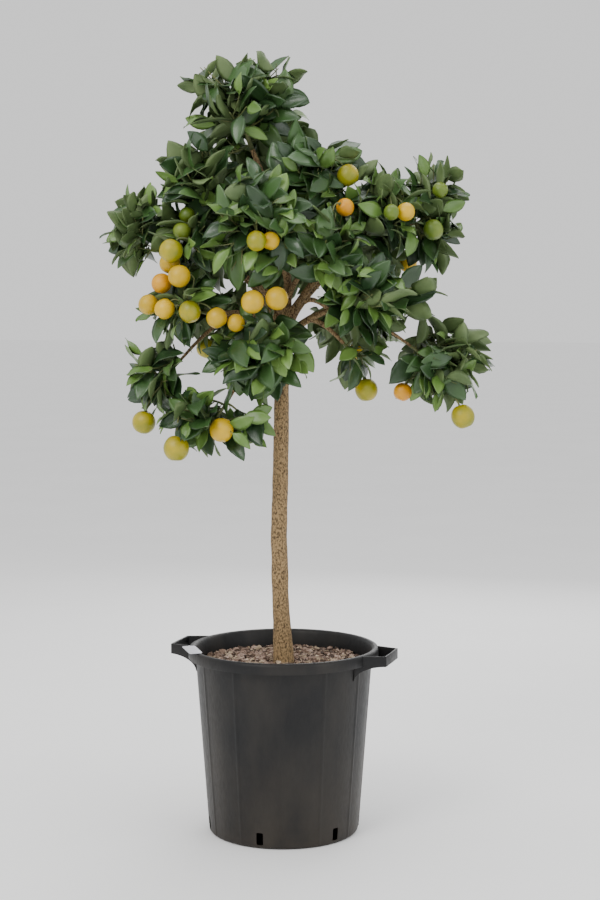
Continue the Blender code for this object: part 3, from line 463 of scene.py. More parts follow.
# Each mass: its parent limb and how far along it, its middle, half sizes, arch, twigs, long shoots, and its
# fruit, as place, radius and ripeness: g green, l lime, y yellow, o orange.
MASSES = {
    "top": Mass("trunk", 1.0, (-0.070, 0.000, 1.335), (0.085, 0.090, 0.080), -0.10, 8,
                ((-0.185, 0.000, 1.412), (-0.095, -0.010, 1.436), (-0.035, 0.020, 1.438), (0.028, 0.000, 1.440)), ()),
    "upper_left": Mass("top", 0.45, (-0.140, -0.040, 1.225), (0.075, 0.080, 0.065), -0.05, 7,
                       ((-0.195, -0.030, 1.225), (-0.178, -0.030, 1.280)), ()),
    "upper_right": Mass("top", 0.30, (0.055, -0.060, 1.225), (0.085, 0.080, 0.070), -0.05, 8,
                        ((0.070, -0.050, 1.285),), ((0.116, -0.105, 1.224, 0.0195, "l"),)),
    "back_top": Mass("top", 0.60, (0.000, 0.120, 1.250), (0.095, 0.075, 0.080), -0.05, 8, (),
                     ((0.060, 0.190, 1.225, 0.0190, "y"),)),
    "heart": Mass("top", 0.16, (-0.045, -0.150, 1.125), (0.080, 0.070, 0.100), 0.10, 9, (),
                  ((-0.0465, -0.215, 1.102, 0.0175, "l"), (-0.0225, -0.186, 1.1035, 0.0160, "y"))),
    "left": Mass("trunk", 0.982, (-0.160, -0.060, 1.105), (0.070, 0.085, 0.070), 0.05, 8,
                 ((-0.200, -0.050, 1.170),),
                 ((-0.182, -0.100, 1.125, 0.0165, "g"), (-0.174, -0.080, 1.154, 0.0150, "g"),
                  (-0.200, -0.132, 1.088, 0.0210, "l"), (-0.205, -0.090, 1.067, 0.0190, "y"))),
    "left_tip": Mass("left", 0.60, (-0.262, -0.005, 1.125), (0.050, 0.065, 0.060), -0.05, 6,
                     ((-0.290, 0.000, 1.158), (-0.297, -0.010, 1.118)), ()),
    "left_low": Mass("trunk", 0.934, (-0.165, -0.090, 0.990), (0.080, 0.085, 0.045), 0.12, 8, (),
                     ((-0.219, -0.105, 1.031, 0.0180, "o"), (-0.243, -0.105, 0.993, 0.0180, "y"),
                      (-0.212, -0.132, 0.985, 0.0180, "y"), (-0.166, -0.152, 0.980, 0.0195, "l"),
                      (-0.118, -0.156, 0.969, 0.0185, "y"), (-0.185, -0.140, 1.043, 0.0200, "y"))),
    "left_hang": Mass("left_low", 0.70, (-0.222, -0.055, 0.865), (0.050, 0.055, 0.065), 0.22, 5,
                      ((-0.262, -0.065, 0.830),), ((-0.2555, -0.070, 0.7785, 0.0215, "l"),)),
    "centre_low": Mass("trunk", 0.904, (-0.045, -0.120, 0.905), (0.080, 0.075, 0.065), 0.20, 8,
                       ((0.018, -0.120, 0.868), (0.020, -0.100, 0.915)),
                       ((-0.0115, -0.180, 1.003, 0.0205, "y"), (-0.054, -0.190, 0.997, 0.0205, "y"),
                        (-0.084, -0.152, 0.960, 0.0160, "y"))),
    "lower_left": Mass("centre_low", 0.60, (-0.125, -0.125, 0.790), (0.080, 0.070, 0.048), 0.20, 7,
                       ((-0.200, -0.120, 0.780), (-0.070, -0.130, 0.770)),
                       ((-0.192, -0.140, 0.736, 0.0230, "l"), (-0.110, -0.160, 0.770, 0.0215, "y"))),
    "front_right": Mass("top", 0.07, (0.080, -0.130, 1.095), (0.065, 0.070, 0.070), 0.05, 7, (),
                        ((0.110, -0.135, 1.165, 0.0160, "o"),)),
    "right": Mass("trunk", 0.974, (0.175, -0.050, 1.150), (0.075, 0.085, 0.070), -0.03, 8,
                  ((0.194, -0.050, 1.222), (0.146, -0.050, 1.200)),
                  ((0.192, -0.140, 1.156, 0.0140, "g"), (0.219, -0.120, 1.158, 0.0165, "y"))),
    "right_tip": Mass("right", 0.65, (0.275, 0.010, 1.160), (0.050, 0.065, 0.080), -0.05, 7,
                      ((0.300, 0.020, 1.262), (0.318, 0.010, 1.120)),
                      ((0.2875, -0.040, 1.2025, 0.0145, "g"), (0.273, -0.065, 1.129, 0.0185, "g"))),
    "right_mid": Mass("trunk", 0.919, (0.165, -0.100, 1.010), (0.095, 0.085, 0.060), 0.08, 9, (), ()),
    "right_hang": Mass("right_mid", 0.75, (0.285, -0.055, 0.895), (0.080, 0.070, 0.065), 0.20, 8,
                       ((0.345, -0.060, 0.860), (0.290, -0.070, 0.820), (0.325, -0.050, 0.935)),
                       ((0.3270, -0.090, 0.790, 0.0215, "l"), (0.220, -0.050, 0.833, 0.0170, "o"))),
    "right_inner": Mass("right_mid", 0.40, (0.135, -0.040, 0.905), (0.035, 0.040, 0.050), 0.20, 3, (),
                        ((0.154, -0.030, 0.836, 0.0215, "l"),)),
    "back_mid": Mass("trunk", 0.911, (0.010, 0.205, 1.110), (0.085, 0.070, 0.085), 0.05, 8, (),
                     ((-0.010, 0.265, 1.060, 0.0190, "y"), (0.060, 0.255, 1.080, 0.0170, "l"))),
    "back_left": Mass("trunk", 0.941, (-0.145, 0.120, 1.110), (0.085, 0.080, 0.080), 0.05, 8, (),
                      ((-0.185, 0.185, 1.075, 0.0190, "y"), (-0.155, 0.195, 1.110, 0.0170, "g"))),
    "back_right": Mass("trunk", 0.956, (0.155, 0.125, 1.110), (0.090, 0.080, 0.080), 0.05, 8, (),
                       ((0.195, 0.185, 1.085, 0.0195, "o"), (0.240, 0.120, 1.075, 0.0180, "y"))),
    "back_low_left": Mass("back_left", 0.30, (-0.105, 0.115, 0.965), (0.085, 0.075, 0.060), 0.15, 7, (),
                          ((-0.150, 0.150, 0.910, 0.0200, "l"),)),
    "back_low_right": Mass("back_right", 0.30, (0.130, 0.120, 0.965), (0.085, 0.080, 0.060), 0.15, 7, (),
                           ((0.150, 0.170, 0.905, 0.0200, "y"),)),
}
Limb = namedtuple("Limb", "path radii")


def bend(start, control, end, stations):
    """Points along a quadratic curve."""
    first, second = start + (control - start) * 2 / 3, end + (control - end) * 2 / 3
    return [Vector(p) for p in interpolate_bezier(start, first, second, end, stations)]


def smooth_path(points, per_span):
    """A smooth path through the points."""
    points = [Vector(p) for p in points]
    path = []
    for i in range(len(points) - 1):
        before, after = points[max(i - 1, 0)], points[min(i + 2, len(points) - 1)]
        one, two = points[i] + (points[i + 1] - before) / 6, points[i + 1] - (after - points[i]) / 6
        path += interpolate_bezier(points[i], one, two, points[i + 1], per_span + 1)[:-1]
    return [Vector(p) for p in path] + [points[-1]]


def along(path, share):
    """The point and direction at that share of a path's length."""
    steps = [after - before for before, after in zip(path, path[1:])]
    left = min(max(share, 0.0), 1.0) * sum(step.length for step in steps)
    for point, step in zip(path, steps):
        if left <= step.length or step is steps[-1]:
            return point + step.normalized() * left, step.normalized()
        left -= step.length


def even(first, last, count):
    """Radii that run evenly from first to last."""
    return [first + (last - first) * i / (count - 1) for i in range(count)]


def tube(path, radii, sides, relief=None):
    """A tube's corners and faces, closed at both ends. Relief gives how far a corner stands out."""
    spots, faces = [], []
    side = None
    for index, point in enumerate(path):
        heading = (path[min(index + 1, len(path) - 1)] - path[max(index - 1, 0)]).normalized()
        side = heading.orthogonal() if side is None else side - heading * side.dot(heading)
        side = side.normalized()
        other = heading.cross(side)
        for corner in range(sides):
            turn = corner / sides * math.tau
            out = side * math.cos(turn) + other * math.sin(turn)
            radius = radii[index] * (1 + relief(point + out * radii[index], turn) if relief else 1)
            spots.append(point + out * radius)
    for ring in range(len(path) - 1):
        for corner in range(sides):
            a, b = ring * sides + corner, ring * sides + (corner + 1) % sides
            faces.append((a, b, b + sides, a + sides))
    faces.append(tuple(range(sides))[::-1])
    faces.append(tuple(range(len(spots) - sides, len(spots))))
    return spots, faces


def joined(name, shapes):
    """One mesh from many shapes of corners and faces, turned from the tree's frame to the pot's."""
    spots, faces, marks = [], [], []
    for shape in shapes:
        base = len(spots)
        spots += [TURN @ p for p in shape[0]]
        faces += [tuple(base + i for i in face) for face in shape[1]]
        marks += [shape[2] if len(shape) > 2 else 0] * len(shape[1])
    mesh = bpy.data.meshes.new(name)
    mesh.from_pydata(spots, [], faces)
    mesh.polygons.foreach_set("material_index", marks)
    mesh.shade_smooth()
    return mesh


def width_at(limb, share):
    """A limb's radius at that share of its stations."""
    return float(np.interp(share, np.linspace(0, 1, len(limb.radii)), limb.radii))


def eased(path, reach):
    """A path whose inner points are averaged with their neighbours."""
    soft = [Vector(point) for point in path]
    for i in range(reach, len(path) - reach):
        soft[i] = sum(path[i - reach:i + reach + 1], Vector()) / (2 * reach + 1)
    return soft


def bark_relief(spot, turn):
    """Shallow furrows that run along the wood, with low swellings, as a share of the radius."""
    fine = noise.noise(Vector((spot.x * 420, spot.y * 420, spot.z * 130)))
    broad = noise.noise(Vector((spot.x * 60, spot.y * 60, spot.z * 26)))
    return 0.030 * fine + 0.055 * broad


trunk_path = smooth_path(TRUNK_POINTS, 1)
trunk_radii = even(TRUNK_FOOT_RADIUS, TRUNK_TOP_RADIUS, len(trunk_path))
for index, point in enumerate(trunk_path):
    low = max(0.0, 1 - (point.z - MIX_TOP) / FLARE_HEIGHT)
    trunk_radii[index] += FLARE * low * low
limbs = {"trunk": Limb(trunk_path, trunk_radii)}
for name, mass in MASSES.items():
    parent = limbs[mass.parent]
    start, heading = along(parent.path, mass.share)
    if mass.share == 1.0:
        start = start + heading * CLEAR * 2
    chord = Vector(mass.middle) - start
    reach = Vector(np.array(mass.half) * np.array(chord.normalized())).length
    end = Vector(mass.middle) - chord.normalized() * reach * 0.72
    width = width_at(parent, mass.share) * CHILD_SHARE
    if mass.share == 1.0:
        control = start + heading * chord.length * 0.35
    else:
        start = start + Vector((chord.x, chord.y, 0)).normalized() * width / CHILD_SHARE * 0.5
        control = start.lerp(end, 0.42) + Vector((0, 0, 0.13 * chord.length))
    width = min(width, BOUGH_RADIUS)
    path = bend(start, control, end, BOUGH_STATIONS)
    limbs[name] = Limb(path, even(width, width * BOUGH_TAPER, BOUGH_STATIONS))
stem_path = eased([along(trunk_path, i / TRUNK_RINGS)[0] for i in range(TRUNK_RINGS + 1)], 4)
stem_radii = [width_at(limbs["trunk"], i / TRUNK_RINGS) for i in range(TRUNK_RINGS + 1)]
stem_path.append(stem_path[-1] + (stem_path[-1] - stem_path[-2]) * 0.6)
stem_radii.append(stem_radii[-1] * 0.7)
bark_shapes = [tube(stem_path, stem_radii, TRUNK_SIDES, bark_relief)]
for name in MASSES:
    path = eased([along(limbs[name].path, i / BOUGH_RINGS)[0] for i in range(BOUGH_RINGS + 1)], 2)
    radii = [width_at(limbs[name], i / BOUGH_RINGS) for i in range(BOUGH_RINGS + 1)]
    if name != "top":
        radii = [radius * (1 + COLLAR * max(0.0, 1 - i / 5) ** 2) for i, radius in enumerate(radii)]
    bark_shapes.append(tube(path, radii, BOUGH_SIDES, bark_relief))
bark_finish = mottled_finish(
    "bark", (0.060, 0.036, 0.015), (0.340, 0.225, 0.105), 380.0, (0.78, 0.95), 1.0, 1.6, (1, 1, 0.62), (0.36, 0.58),
)
wood_nodes = ["trunk"] + [f"bough_{name}" for name in MASSES]
join_to_tree("bark", joined("bark", bark_shapes), [bark_finish], wood_nodes)

# The twigs are young kumquat wood: thin, smooth, green and a little angular. They branch from one stem in
# each mass by the solids' rule, and finer side twigs grow off them within the same reach.
GOLDEN = math.radians(137.5)
STEM_STATIONS, STEM_RINGS, STEM_SIDES, STEM_TIP_RADIUS = 5, 14, 10, 0.0024
CELL_MARGIN, LIMB_MARGIN, FRUIT_MARGIN = 0.0012, 0.0022, 0.004
SHOOT_REACH = 0.042
TWIG_SHARE = 0.85
TWIG_SOLID_RADII = (0.0023, 0.0021, 0.0019)
TWIG_RADII, TWIG_STATIONS, TWIG_SIDES = (0.0022, 0.0014), 11, 7
SIDE_RADII, SIDE_STATIONS, SIDE_SIDES = (0.0013, 0.0009), 7, 5
SIDE_LENGTH = (0.046, 0.092)
SIDE_TRIES = 7
LIMB_SAMPLES = 24
# A path that carries leaves: how much of it is bare at its root, and its order: 0 stem, 1 twig, 2 side twig.
Shoot = namedtuple("Shoot", "path bare order")
names = list(MASSES)
middles = np.array([MASSES[n].middle for n in names])
weights = np.array([(sum(MASSES[n].half) / 3) ** 2 for n in names])


def holds(name, samples, margin):
    """Whether the points lie in the mass's own space, by that margin."""
    own = names.index(name)
    spots = np.array([tuple(p) for p in samples])
    power = ((spots[:, None, :] - middles[None]) ** 2).sum(axis=2) - weights[None]
    lead = np.delete(power, own, axis=1) - power[:, [own]]
    apart = 2 * np.linalg.norm(np.delete(middles, own, axis=0) - middles[own], axis=1)
    return bool((lead / apart > margin).all())


def within(mass, point, spare):
    """Whether a point lies in the mass's outline: its swollen ball, or a sleeve round a long shoot."""
    offset = point - Vector(mass.middle)
    if Vector([offset[i] / (mass.half[i] + spare) for i in range(3)]).length < 1:
        return True
    for tip in mass.shoots:
        shoot = Vector(tip) - Vector(mass.middle)
        shoot -= shoot.normalized() * SHOOT_REACH * 0.7
        share = min(max(offset.dot(shoot) / shoot.length_squared, 0.0), 1.0)
        if (offset - shoot * share).length < SHOOT_REACH:
            return True
    return False


def twig_tips(mass, rng):
    """The long shoots' tips, and then tips spread over the mass by a golden spiral."""
    middle, half = Vector(mass.middle), mass.half
    tips = [Vector(tip) - (Vector(tip) - middle).normalized() * SHOOT_REACH for tip in mass.shoots]
    spread = mass.twigs * 2
    for index in range(spread):
        height = 1 - 2 * (index + 0.5) / spread
        turn = index * GOLDEN + rng.uniform(0, 0.5)
        level = math.sqrt(1 - height * height)
        reach = rng.uniform(0.62, 0.95)
        offset = Vector((level * math.cos(turn) * half[0], level * math.sin(turn) * half[1], height * half[2]))
        tips.append(middle + offset * reach)
    order = tips[len(mass.shoots):]
    rng.shuffle(order)
    return tips[: len(mass.shoots)] + order


def skin_of(shape):
    """A shape's surface, ready to be tested against another's."""
    return BVHTree.FromPolygons(shape[0], shape[1])


def length_of(path):
    """A path's length."""
    return sum((after - before).length for before, after in zip(path, path[1:]))


def limb_gap(samples):
    """How near the points come to the bark of any limb or stem."""
    spots = np.array([tuple(p) for p in samples])
    return (np.linalg.norm(spots[:, None] - limb_spots[None], axis=2) - limb_sizes[None]).min()


stems = {}
for name, mass in MASSES.items():
    bough = limbs[name]
    start, heading = along(bough.path, 1.0)
    start = start + heading * CLEAR
    middle = Vector(mass.middle)
    end = middle + (middle - start) * 0.45
    end.z -= 0.3 * max(0.0, mass.arch) * (end - start).length
    path = bend(start, start + heading * (end - start).length * 0.5, end, STEM_STATIONS)
    stems[name] = Limb(path, even(bough.radii[-1], STEM_TIP_RADIUS, STEM_STATIONS))
all_limbs = [*limbs.values(), *stems.values()]
owners = [None] * len(limbs) + list(stems)
guards = [
    (owner, skin_of(tube(limb.path, [radius + LIMB_MARGIN for radius in limb.radii], 5)))
    for owner, limb in zip(owners, all_limbs)
]
samples = range(LIMB_SAMPLES + 1)
limb_spots = np.array([tuple(along(limb.path, i / LIMB_SAMPLES)[0]) for limb in all_limbs for i in samples])
limb_sizes = np.array([width_at(limb, i / LIMB_SAMPLES) for limb in all_limbs for i in samples])
all_fruit = [(n, Vector(f[:3]), f[3], f[4]) for n in names for f in MASSES[n].fruit]
twig_shapes = []
grown = {name: [Shoot(stems[name].path, 0.35, 0)] for name in names}
for name, mass in MASSES.items():
    rng = random.Random(name)
    stem = stems[name]
    path = [along(stem.path, i / STEM_RINGS)[0] for i in range(STEM_RINGS + 1)]
    radii = [width_at(stem, i / STEM_RINGS) for i in range(STEM_RINGS + 1)]
    twig_shapes.append(tube(path, radii, STEM_SIDES))
    near = [skin for owner, skin in guards if owner != name]
    foreign = [(centre, radius) for owner, centre, radius, _ in all_fruit if owner != name]
    twigs = 0
    for tip in twig_tips(mass, rng):
        if twigs == round(mass.twigs * TWIG_SHARE) + len(mass.shoots):
            break
        span = stem.path[-1] - stem.path[0]
        share = (tip - stem.path[0]).dot(span) / span.length_squared - 0.30
        start, _ = along(stem.path, min(max(share, 0.12), 0.94))
        reach = (tip - start).length
        control = start.lerp(tip, 0.5) + Vector((0, 0, mass.arch * reach))
        solid_path = bend(start, control, tip, 3)
        samples = [along(solid_path, i / 8)[0] for i in range(2, 9)]
        if reach < 0.03 or not holds(name, samples, CELL_MARGIN + TWIG_SOLID_RADII[0]):
            continue
        skin = skin_of(tube(solid_path, TWIG_SOLID_RADII, 3))
        if any(skin.overlap(guard) for guard in near):
            continue
        if any((p - centre).length < radius + FRUIT_MARGIN for p in samples for centre, radius in foreign):
            continue
        path = bend(start, control, tip, TWIG_STATIONS)
        twig_shapes.append(tube(path, even(*TWIG_RADII, TWIG_STATIONS), TWIG_SIDES))
        grown[name].append(Shoot(path, 0.12, 1))
        twigs += 1
    rng = random.Random(name + " side twigs")
    for path, _, _ in list(grown[name]):
        total = length_of(path)
        count = 3 + int(total > 0.07) + int(total > 0.11)
        turn = rng.uniform(0, math.tau)
        for index in range(count):
            start, heading = along(path, 0.25 + 0.62 * (index + rng.uniform(0.2, 0.8)) / count)
            for attempt in range(SIDE_TRIES):
                turn += GOLDEN + rng.uniform(-0.3, 0.3)
                side = heading.orthogonal().normalized()
                around = side * math.cos(turn) + heading.cross(side) * math.sin(turn)
                way = (heading * 0.75 + around * 0.85 + Vector((0, 0, 0.25 - mass.arch))).normalized()
                length = rng.uniform(*SIDE_LENGTH) * (1 - 0.06 * attempt)
                tip = start + way * length
                control = start.lerp(tip, 0.5) + Vector((0, 0, -0.08 * length))
                samples = [start.lerp(tip, i / 4) for i in range(2, 5)]
                if not within(mass, tip, 0.004) or not holds(name, samples, 0.003) or limb_gap(samples) < 0.004:
                    continue
                if any((p - centre).length < radius + 0.003 for p in samples for _, centre, radius, _ in all_fruit):
                    continue
                path_out = bend(start, control, tip, SIDE_STATIONS)
                twig_shapes.append(tube(path_out, even(*SIDE_RADII, SIDE_STATIONS), SIDE_SIDES))
                grown[name].append(Shoot(path_out, 0.22, 2))
                break

# The fruit is round to slightly oval, with a thin pored rind that ripens from green through lime and yellow
# to orange. Each hangs under a small green calyx, on a short stalk from the nearest twig.
STALK_RADII, STALK_STATIONS, STALK_SIDES = (0.0014, 0.0016), 9, 6
CALYX_OUT, CALYX_IN = 0.0046, 0.0026
CALYX_POINTS = 10
FRUIT_TONES = {
    "g": ("fruit_green", (0.085, 0.150, 0.012), (0.17, 0.23, 0.020)),
    "l": ("fruit_lime", (0.22, 0.225, 0.004), (0.42, 0.33, 0.006)),
    "y": ("fruit_yellow", (0.50, 0.32, 0.003), (0.68, 0.42, 0.004)),
    "o": ("fruit_orange", (0.62, 0.26, 0.002), (0.74, 0.36, 0.004)),
}
fruit_shapes = {ripe: [] for ripe in FRUIT_TONES}
rng = random.Random(7)
for name, centre, radius, ripe in all_fruit:
    twig_paths = [shoot.path for shoot in grown[name] if shoot.order < 2]
    spots = [along(path, i / 20)[0] for path in twig_paths for i in range(3, 19)]
    above = centre + Vector((0, 0, radius * 1.6))
    start = min(spots, key=lambda p: (p - above).length)
    lean = (start - centre).normalized().lerp(Vector((0, 0, 1)), 0.5).normalized()
    top = centre + lean * radius * 0.93
    stalk = bend(start, top + lean * (start - top).length * 0.45, top, STALK_STATIONS)
    twig_shapes.append(tube(stalk, even(*STALK_RADII, STALK_STATIONS), STALK_SIDES))
    fruit_bm = bmesh.new()
    bmesh.ops.create_uvsphere(fruit_bm, u_segments=32, v_segments=20, radius=1.0)
    tall = rng.uniform(1.0, 1.06)
    slim = rng.uniform(0.97, 1.0)
    for vert in fruit_bm.verts:
        level = vert.co.z
        dimple = 0.07 * max(0.0, (abs(level) - 0.86) / 0.14) ** 1.5
        lump = 1 + 0.018 * noise.noise(vert.co * 1.4 + Vector((radius * 999, 0, 0)))
        vert.co = Vector((vert.co.x * slim, vert.co.y, (level - math.copysign(dimple, level)) * tall)) * radius * lump
    place = Matrix.Translation(centre) @ lean.to_track_quat("Z", "Y").to_matrix().to_4x4()
    fruit_bm.verts.index_update()
    rind = ([place @ v.co for v in fruit_bm.verts], [tuple(v.index for v in f.verts) for f in fruit_bm.faces])
    fruit_shapes[ripe].append(rind)
    fruit_bm.free()
    calyx = [Vector((0, 0, radius * 0.95))]
    for point in range(CALYX_POINTS):
        turn, out = point / CALYX_POINTS * math.tau, CALYX_OUT if point % 2 == 0 else CALYX_IN
        calyx.append(Vector((out * math.cos(turn), out * math.sin(turn), radius * 0.985 - out * 0.04)))
    sepals = [(0, 1 + k, 1 + (k + 1) % CALYX_POINTS) for k in range(CALYX_POINTS)]
    twig_shapes.append(([place @ p for p in calyx], sepals))
for ripe, (name, dark, light) in FRUIT_TONES.items():
    rind_finish = mottled_finish(
        name, dark, light, 26.0, (0.30, 0.46), 0.35, 36.0, (1, 1, 1), (0.38, 0.66), Specular_IOR_Level=0.5,
        Subsurface_Weight=0.04, Subsurface_Radius=(0.006, 0.004, 0.001),
    )
    join_to_tree(name, joined(name, fruit_shapes[ripe]), [rind_finish])
twig_finish = mottled_finish(
    "young_bark", (0.060, 0.085, 0.022), (0.16, 0.17, 0.055), 45.0, (0.5, 0.7), 0.3, 5.0, (1, 1, 0.5),
)
join_to_tree("twigs", joined("twigs", twig_shapes), [twig_finish])

# The leaves are thick, dark and glossy, paler below: broadest near the middle, trough-shaped, with a drooping
# tip and a short stalk. They stand all round every twig, and the youngest, at the shoots' ends, are lighter.
LEAF_STATIONS = np.array([0.0, 0.10, 0.15, 0.25, 0.40, 0.57, 0.73, 0.87, 0.95, 1.0])
LEAF_WIDTHS = np.array([0.050, 0.045, 0.30, 0.70, 0.97, 1.0, 0.83, 0.50, 0.24, 0.03])
LEAF_ACROSS = np.array([-1.0, -0.55, 0.0, 0.55, 1.0])
LEAF_LENGTH = (0.064, 0.092)
LEAF_GAPS = (0.0200, 0.0200, 0.0185)
LEAF_TRIES = 9
LEAF_APART, LEAF_LIMB_GAP, LEAF_FRUIT_GAP = 0.0155, 0.003, 0.0035
LEAF_SPARE, TOP_SPARE = (0.018, 0.044), 0.006
LEAF_OVER_CELL = 0.012
LEAF_THICK, STALK_THICK = 0.00055, 0.0011
YOUNG_SHARE, YOUNG_LENGTH = 0.30, 0.72
# Points of a leaf that are tested, as shares of its length out and aside: middle, tip, both edges, between.
LEAF_TESTS = ((0.5, 0), (1, 0), (0.5, 0.22), (0.5, -0.22), (0.75, 0))
# Name, dark, light, roughness and share of the grown leaves.
LEAF_TONES = (
    ("leaves_dark", (0.015, 0.042, 0.013), (0.028, 0.070, 0.019), (0.30, 0.44), 40),
    ("leaves_mid", (0.025, 0.066, 0.016), (0.046, 0.110, 0.026), (0.31, 0.46), 42),
    ("leaves_light", (0.046, 0.106, 0.024), (0.080, 0.160, 0.038), (0.32, 0.48), 18),
    ("leaves_young", (0.085, 0.175, 0.028), (0.140, 0.250, 0.048), (0.34, 0.48), 0),
)
YOUNG_TONE = 3
Leaf = namedtuple("Leaf", "root aim across facing length young")
rng = random.Random(90210)
leaves = []
leaf_middles = np.zeros((6000, 3))
fruit_spots = np.array([tuple(centre) for _, centre, _, _ in all_fruit])
fruit_sizes = np.array([radius for _, _, radius, _ in all_fruit])
in_front = fruit_spots[:, 1] < 0.05
to_eye = np.array(tuple(EYE)) - fruit_spots
to_eye /= np.linalg.norm(to_eye, axis=1)[:, None]


def try_leaf(name, root, heading, spin, from_tip, shrink):
    """A leaf by the growth rule, or None where it leaves its mass, or meets a leaf, a limb or a fruit."""
    mass = MASSES[name]
    side = heading.orthogonal().normalized()
    around = side * math.cos(spin) + heading.cross(side) * math.sin(spin)
    opened = math.radians(rng.uniform(5, 30) if from_tip == 0 else rng.uniform(42, 80))
    aim = heading * math.cos(opened) + around * math.sin(opened)
    aim.z -= rng.uniform(-0.05, 0.40) + 0.8 * max(0.0, mass.arch)
    aim.normalize()
    outward = Vector((root.x, root.y, 0)).normalized()
    facing = Vector((0, 0, 0.50)) + outward * 0.8 + Vector([rng.gauss(0, 0.42) for _ in range(3)])
    facing = (facing - aim * facing.dot(aim)).normalized()
    across = facing.cross(aim)
    young = from_tip < 2 and rng.random() < YOUNG_SHARE
    length = rng.uniform(*LEAF_LENGTH) * (YOUNG_LENGTH if young else 1.0) * shrink
    spare = rng.uniform(*LEAF_SPARE) + (TOP_SPARE if name == "top" else 0)
    tests = [root + aim * length * out + across * length * aside for out, aside in LEAF_TESTS]
    if not all(within(mass, p, spare) for p in tests[:4]) or not holds(name, tests[:4], -LEAF_OVER_CELL):
        return None
    spots = np.array([tuple(p) for p in tests])
    if leaves and np.linalg.norm(leaf_middles[: len(leaves)] - spots[0], axis=1).min() < LEAF_APART:
        return None
    if limb_gap(tests) < LEAF_LIMB_GAP:
        return None
    offsets = spots[:, None] - fruit_spots[None]
    if (np.linalg.norm(offsets, axis=2) - fruit_sizes[None]).min() < LEAF_FRUIT_GAP:
        return None
    ahead = (offsets * to_eye[None]).sum(axis=2)
    aside = np.linalg.norm(offsets - ahead[..., None] * to_eye[None], axis=2)
    hides = (ahead > 0) & (aside < fruit_sizes[None] * 0.80) & in_front[None]
    if hides.any() and rng.random() < 0.93:
        return None
    leaf_middles[len(leaves)] = spots[0]
    return Leaf(root, aim, across, facing, length, young)


for name in names:
    for path, bare, order in grown[name]:
        count = max(2, round(length_of(path) * (1 - bare) / LEAF_GAPS[order]))
        turn = rng.uniform(0, math.tau)
        for index in range(count + 1):
            root, heading = along(path, min(bare + (1 - bare) * index / count, 0.985))
            turn += GOLDEN
            for attempt in range(LEAF_TRIES):
                spin = turn + attempt * GOLDEN
                leaf = try_leaf(name, root, heading, spin, count - index, 1 - 0.02 * attempt)
                if leaf:
                    leaves.append(leaf)
                    break
tone_shares = [share for *_, share in LEAF_TONES[:YOUNG_TONE]]
tones = np.array([
    YOUNG_TONE if leaf.young else rng.choices(range(YOUNG_TONE), tone_shares)[0] for leaf in leaves
])


def per_leaf(values):
    """One value for each leaf, ready to be spread over its stations and its width."""
    return np.asarray(values)[:, None, None]


shape_rng = np.random.default_rng(5)
number = len(leaves)
rows, columns = len(LEAF_STATIONS), len(LEAF_ACROSS)
fold = per_leaf(shape_rng.uniform(0.10, 0.38, number))
curl = per_leaf(shape_rng.normal(0.42, 0.28, number))
twist = per_leaf(shape_rng.normal(0.0, 0.16, number))
wave = per_leaf(shape_rng.uniform(0.0, 0.055, number))
phase = per_leaf(shape_rng.uniform(0, math.tau, number))
broad = per_leaf(shape_rng.uniform(0.225, 0.275, number))
out = LEAF_STATIONS[None, :, None]
over = LEAF_ACROSS[None, None, :]
half = LEAF_WIDTHS[None, :, None] * broad * over
blade = np.clip((out - 0.12) / 0.2, 0, 1)
leaf_x = out * (1 - (curl * out) ** 2 / 6) + 0 * over
leaf_y = half * np.cos(fold)
leaf_z = np.abs(half) * fold * blade - curl * out * out * 0.5
leaf_z = leaf_z + wave * np.sin(out * 9 + phase + over) * np.abs(over) * blade
roll = twist * out
leaf_y, leaf_z = leaf_y * np.cos(roll) - leaf_z * np.sin(roll), leaf_y * np.sin(roll) + leaf_z * np.cos(roll)
roots, aims, acrosses, facings = (
    np.array([tuple(leaf[part]) for leaf in leaves])[:, None, None, :] for part in range(4)
)
lengths = per_leaf([leaf.length for leaf in leaves])[..., None]
upper = roots + lengths * (leaf_x[..., None] * aims + leaf_y[..., None] * acrosses + leaf_z[..., None] * facings)
thick = np.where(LEAF_STATIONS <= 0.12, STALK_THICK, LEAF_THICK)[None, :, None]
lower = upper - facings * (thick + 0 * leaf_x)[..., None]
inner = [(i, j) for i in range(rows) for j in range(1, columns - 1)]
face_up = np.arange(rows * columns).reshape(rows, columns)
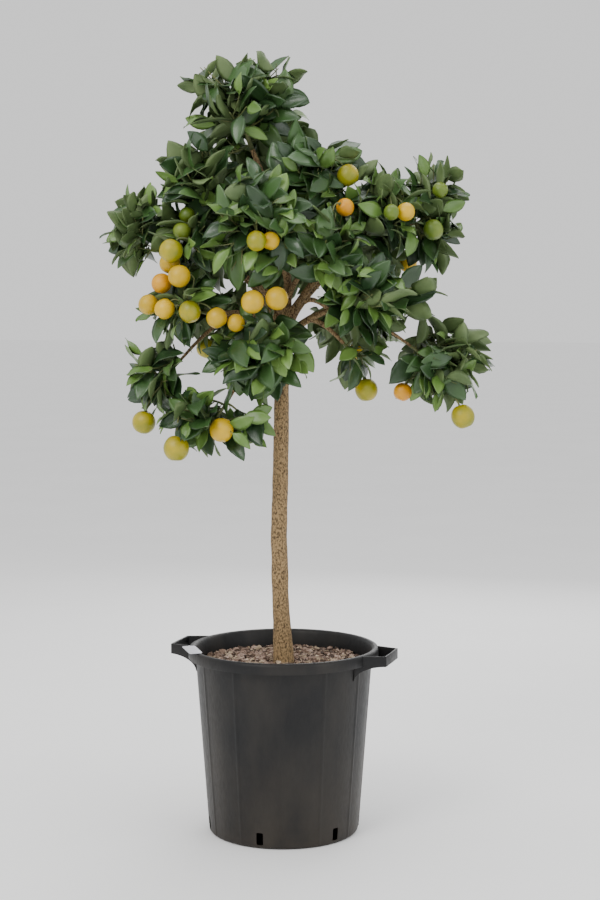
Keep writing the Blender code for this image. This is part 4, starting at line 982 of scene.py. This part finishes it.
face_down = face_up.copy()
for count, (i, j) in enumerate(inner):
    face_down[i, j] = rows * columns + count
cells = [(i, j) for i in range(rows - 1) for j in range(columns - 1)]
leaf_top = np.array([(face_up[i, j], face_up[i + 1, j], face_up[i + 1, j + 1], face_up[i, j + 1]) for i, j in cells])
leaf_low = np.array([
    (face_down[i, j], face_down[i, j + 1], face_down[i + 1, j + 1], face_down[i + 1, j]) for i, j in cells
])
stalk_end, tip_end = ([*face_up[i], *face_down[i, columns - 2:0:-1]] for i in (0, rows - 1))
leaf_ends = (stalk_end, tip_end[::-1])
corners = np.concatenate([upper.reshape(number, -1, 3), np.stack([lower[:, i, j] for i, j in inner], axis=1)], axis=1)
corners = corners @ np.array(TURN.to_3x3()).T
under_finish = mottled_finish("leaf_under", (0.085, 0.135, 0.045), (0.135, 0.195, 0.070), 30.0, (0.5, 0.62), 0.2, 12.0)
for tone, (name, dark, light, rough, _) in enumerate(LEAF_TONES):
    chosen = np.where(tones == tone)[0]
    first = np.arange(len(chosen))[:, None, None] * corners.shape[1]
    quads = np.concatenate([(leaf_top[None] + first).reshape(-1, 4), (leaf_low[None] + first).reshape(-1, 4)])
    ends = [tuple(int(corner) + int(base) for corner in end) for base in first.ravel() for end in leaf_ends]
    leaf_mesh = bpy.data.meshes.new(name)
    leaf_mesh.from_pydata(corners[chosen].reshape(-1, 3).tolist(), [], quads.tolist() + ends)
    marks = [0] * (len(chosen) * len(leaf_top)) + [1] * (len(chosen) * len(leaf_low)) + [0] * len(ends)
    leaf_mesh.polygons.foreach_set("material_index", marks)
    leaf_mesh.shade_smooth()
    leaf_mesh.validate()
    top_finish = mottled_finish(
        name, dark, light, 11.0, rough, 0.35, 22.0, (1, 1, 1), (0.36, 0.64), Specular_IOR_Level=0.55,
        Coat_Weight=0.12, Coat_Roughness=0.22,
    )
    replaced = [f"foliage_{mass}" for mass in names] if name == "leaves_mid" else []
    join_to_tree(name, leaf_mesh, [top_finish, under_finish], replaced)

low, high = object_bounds()
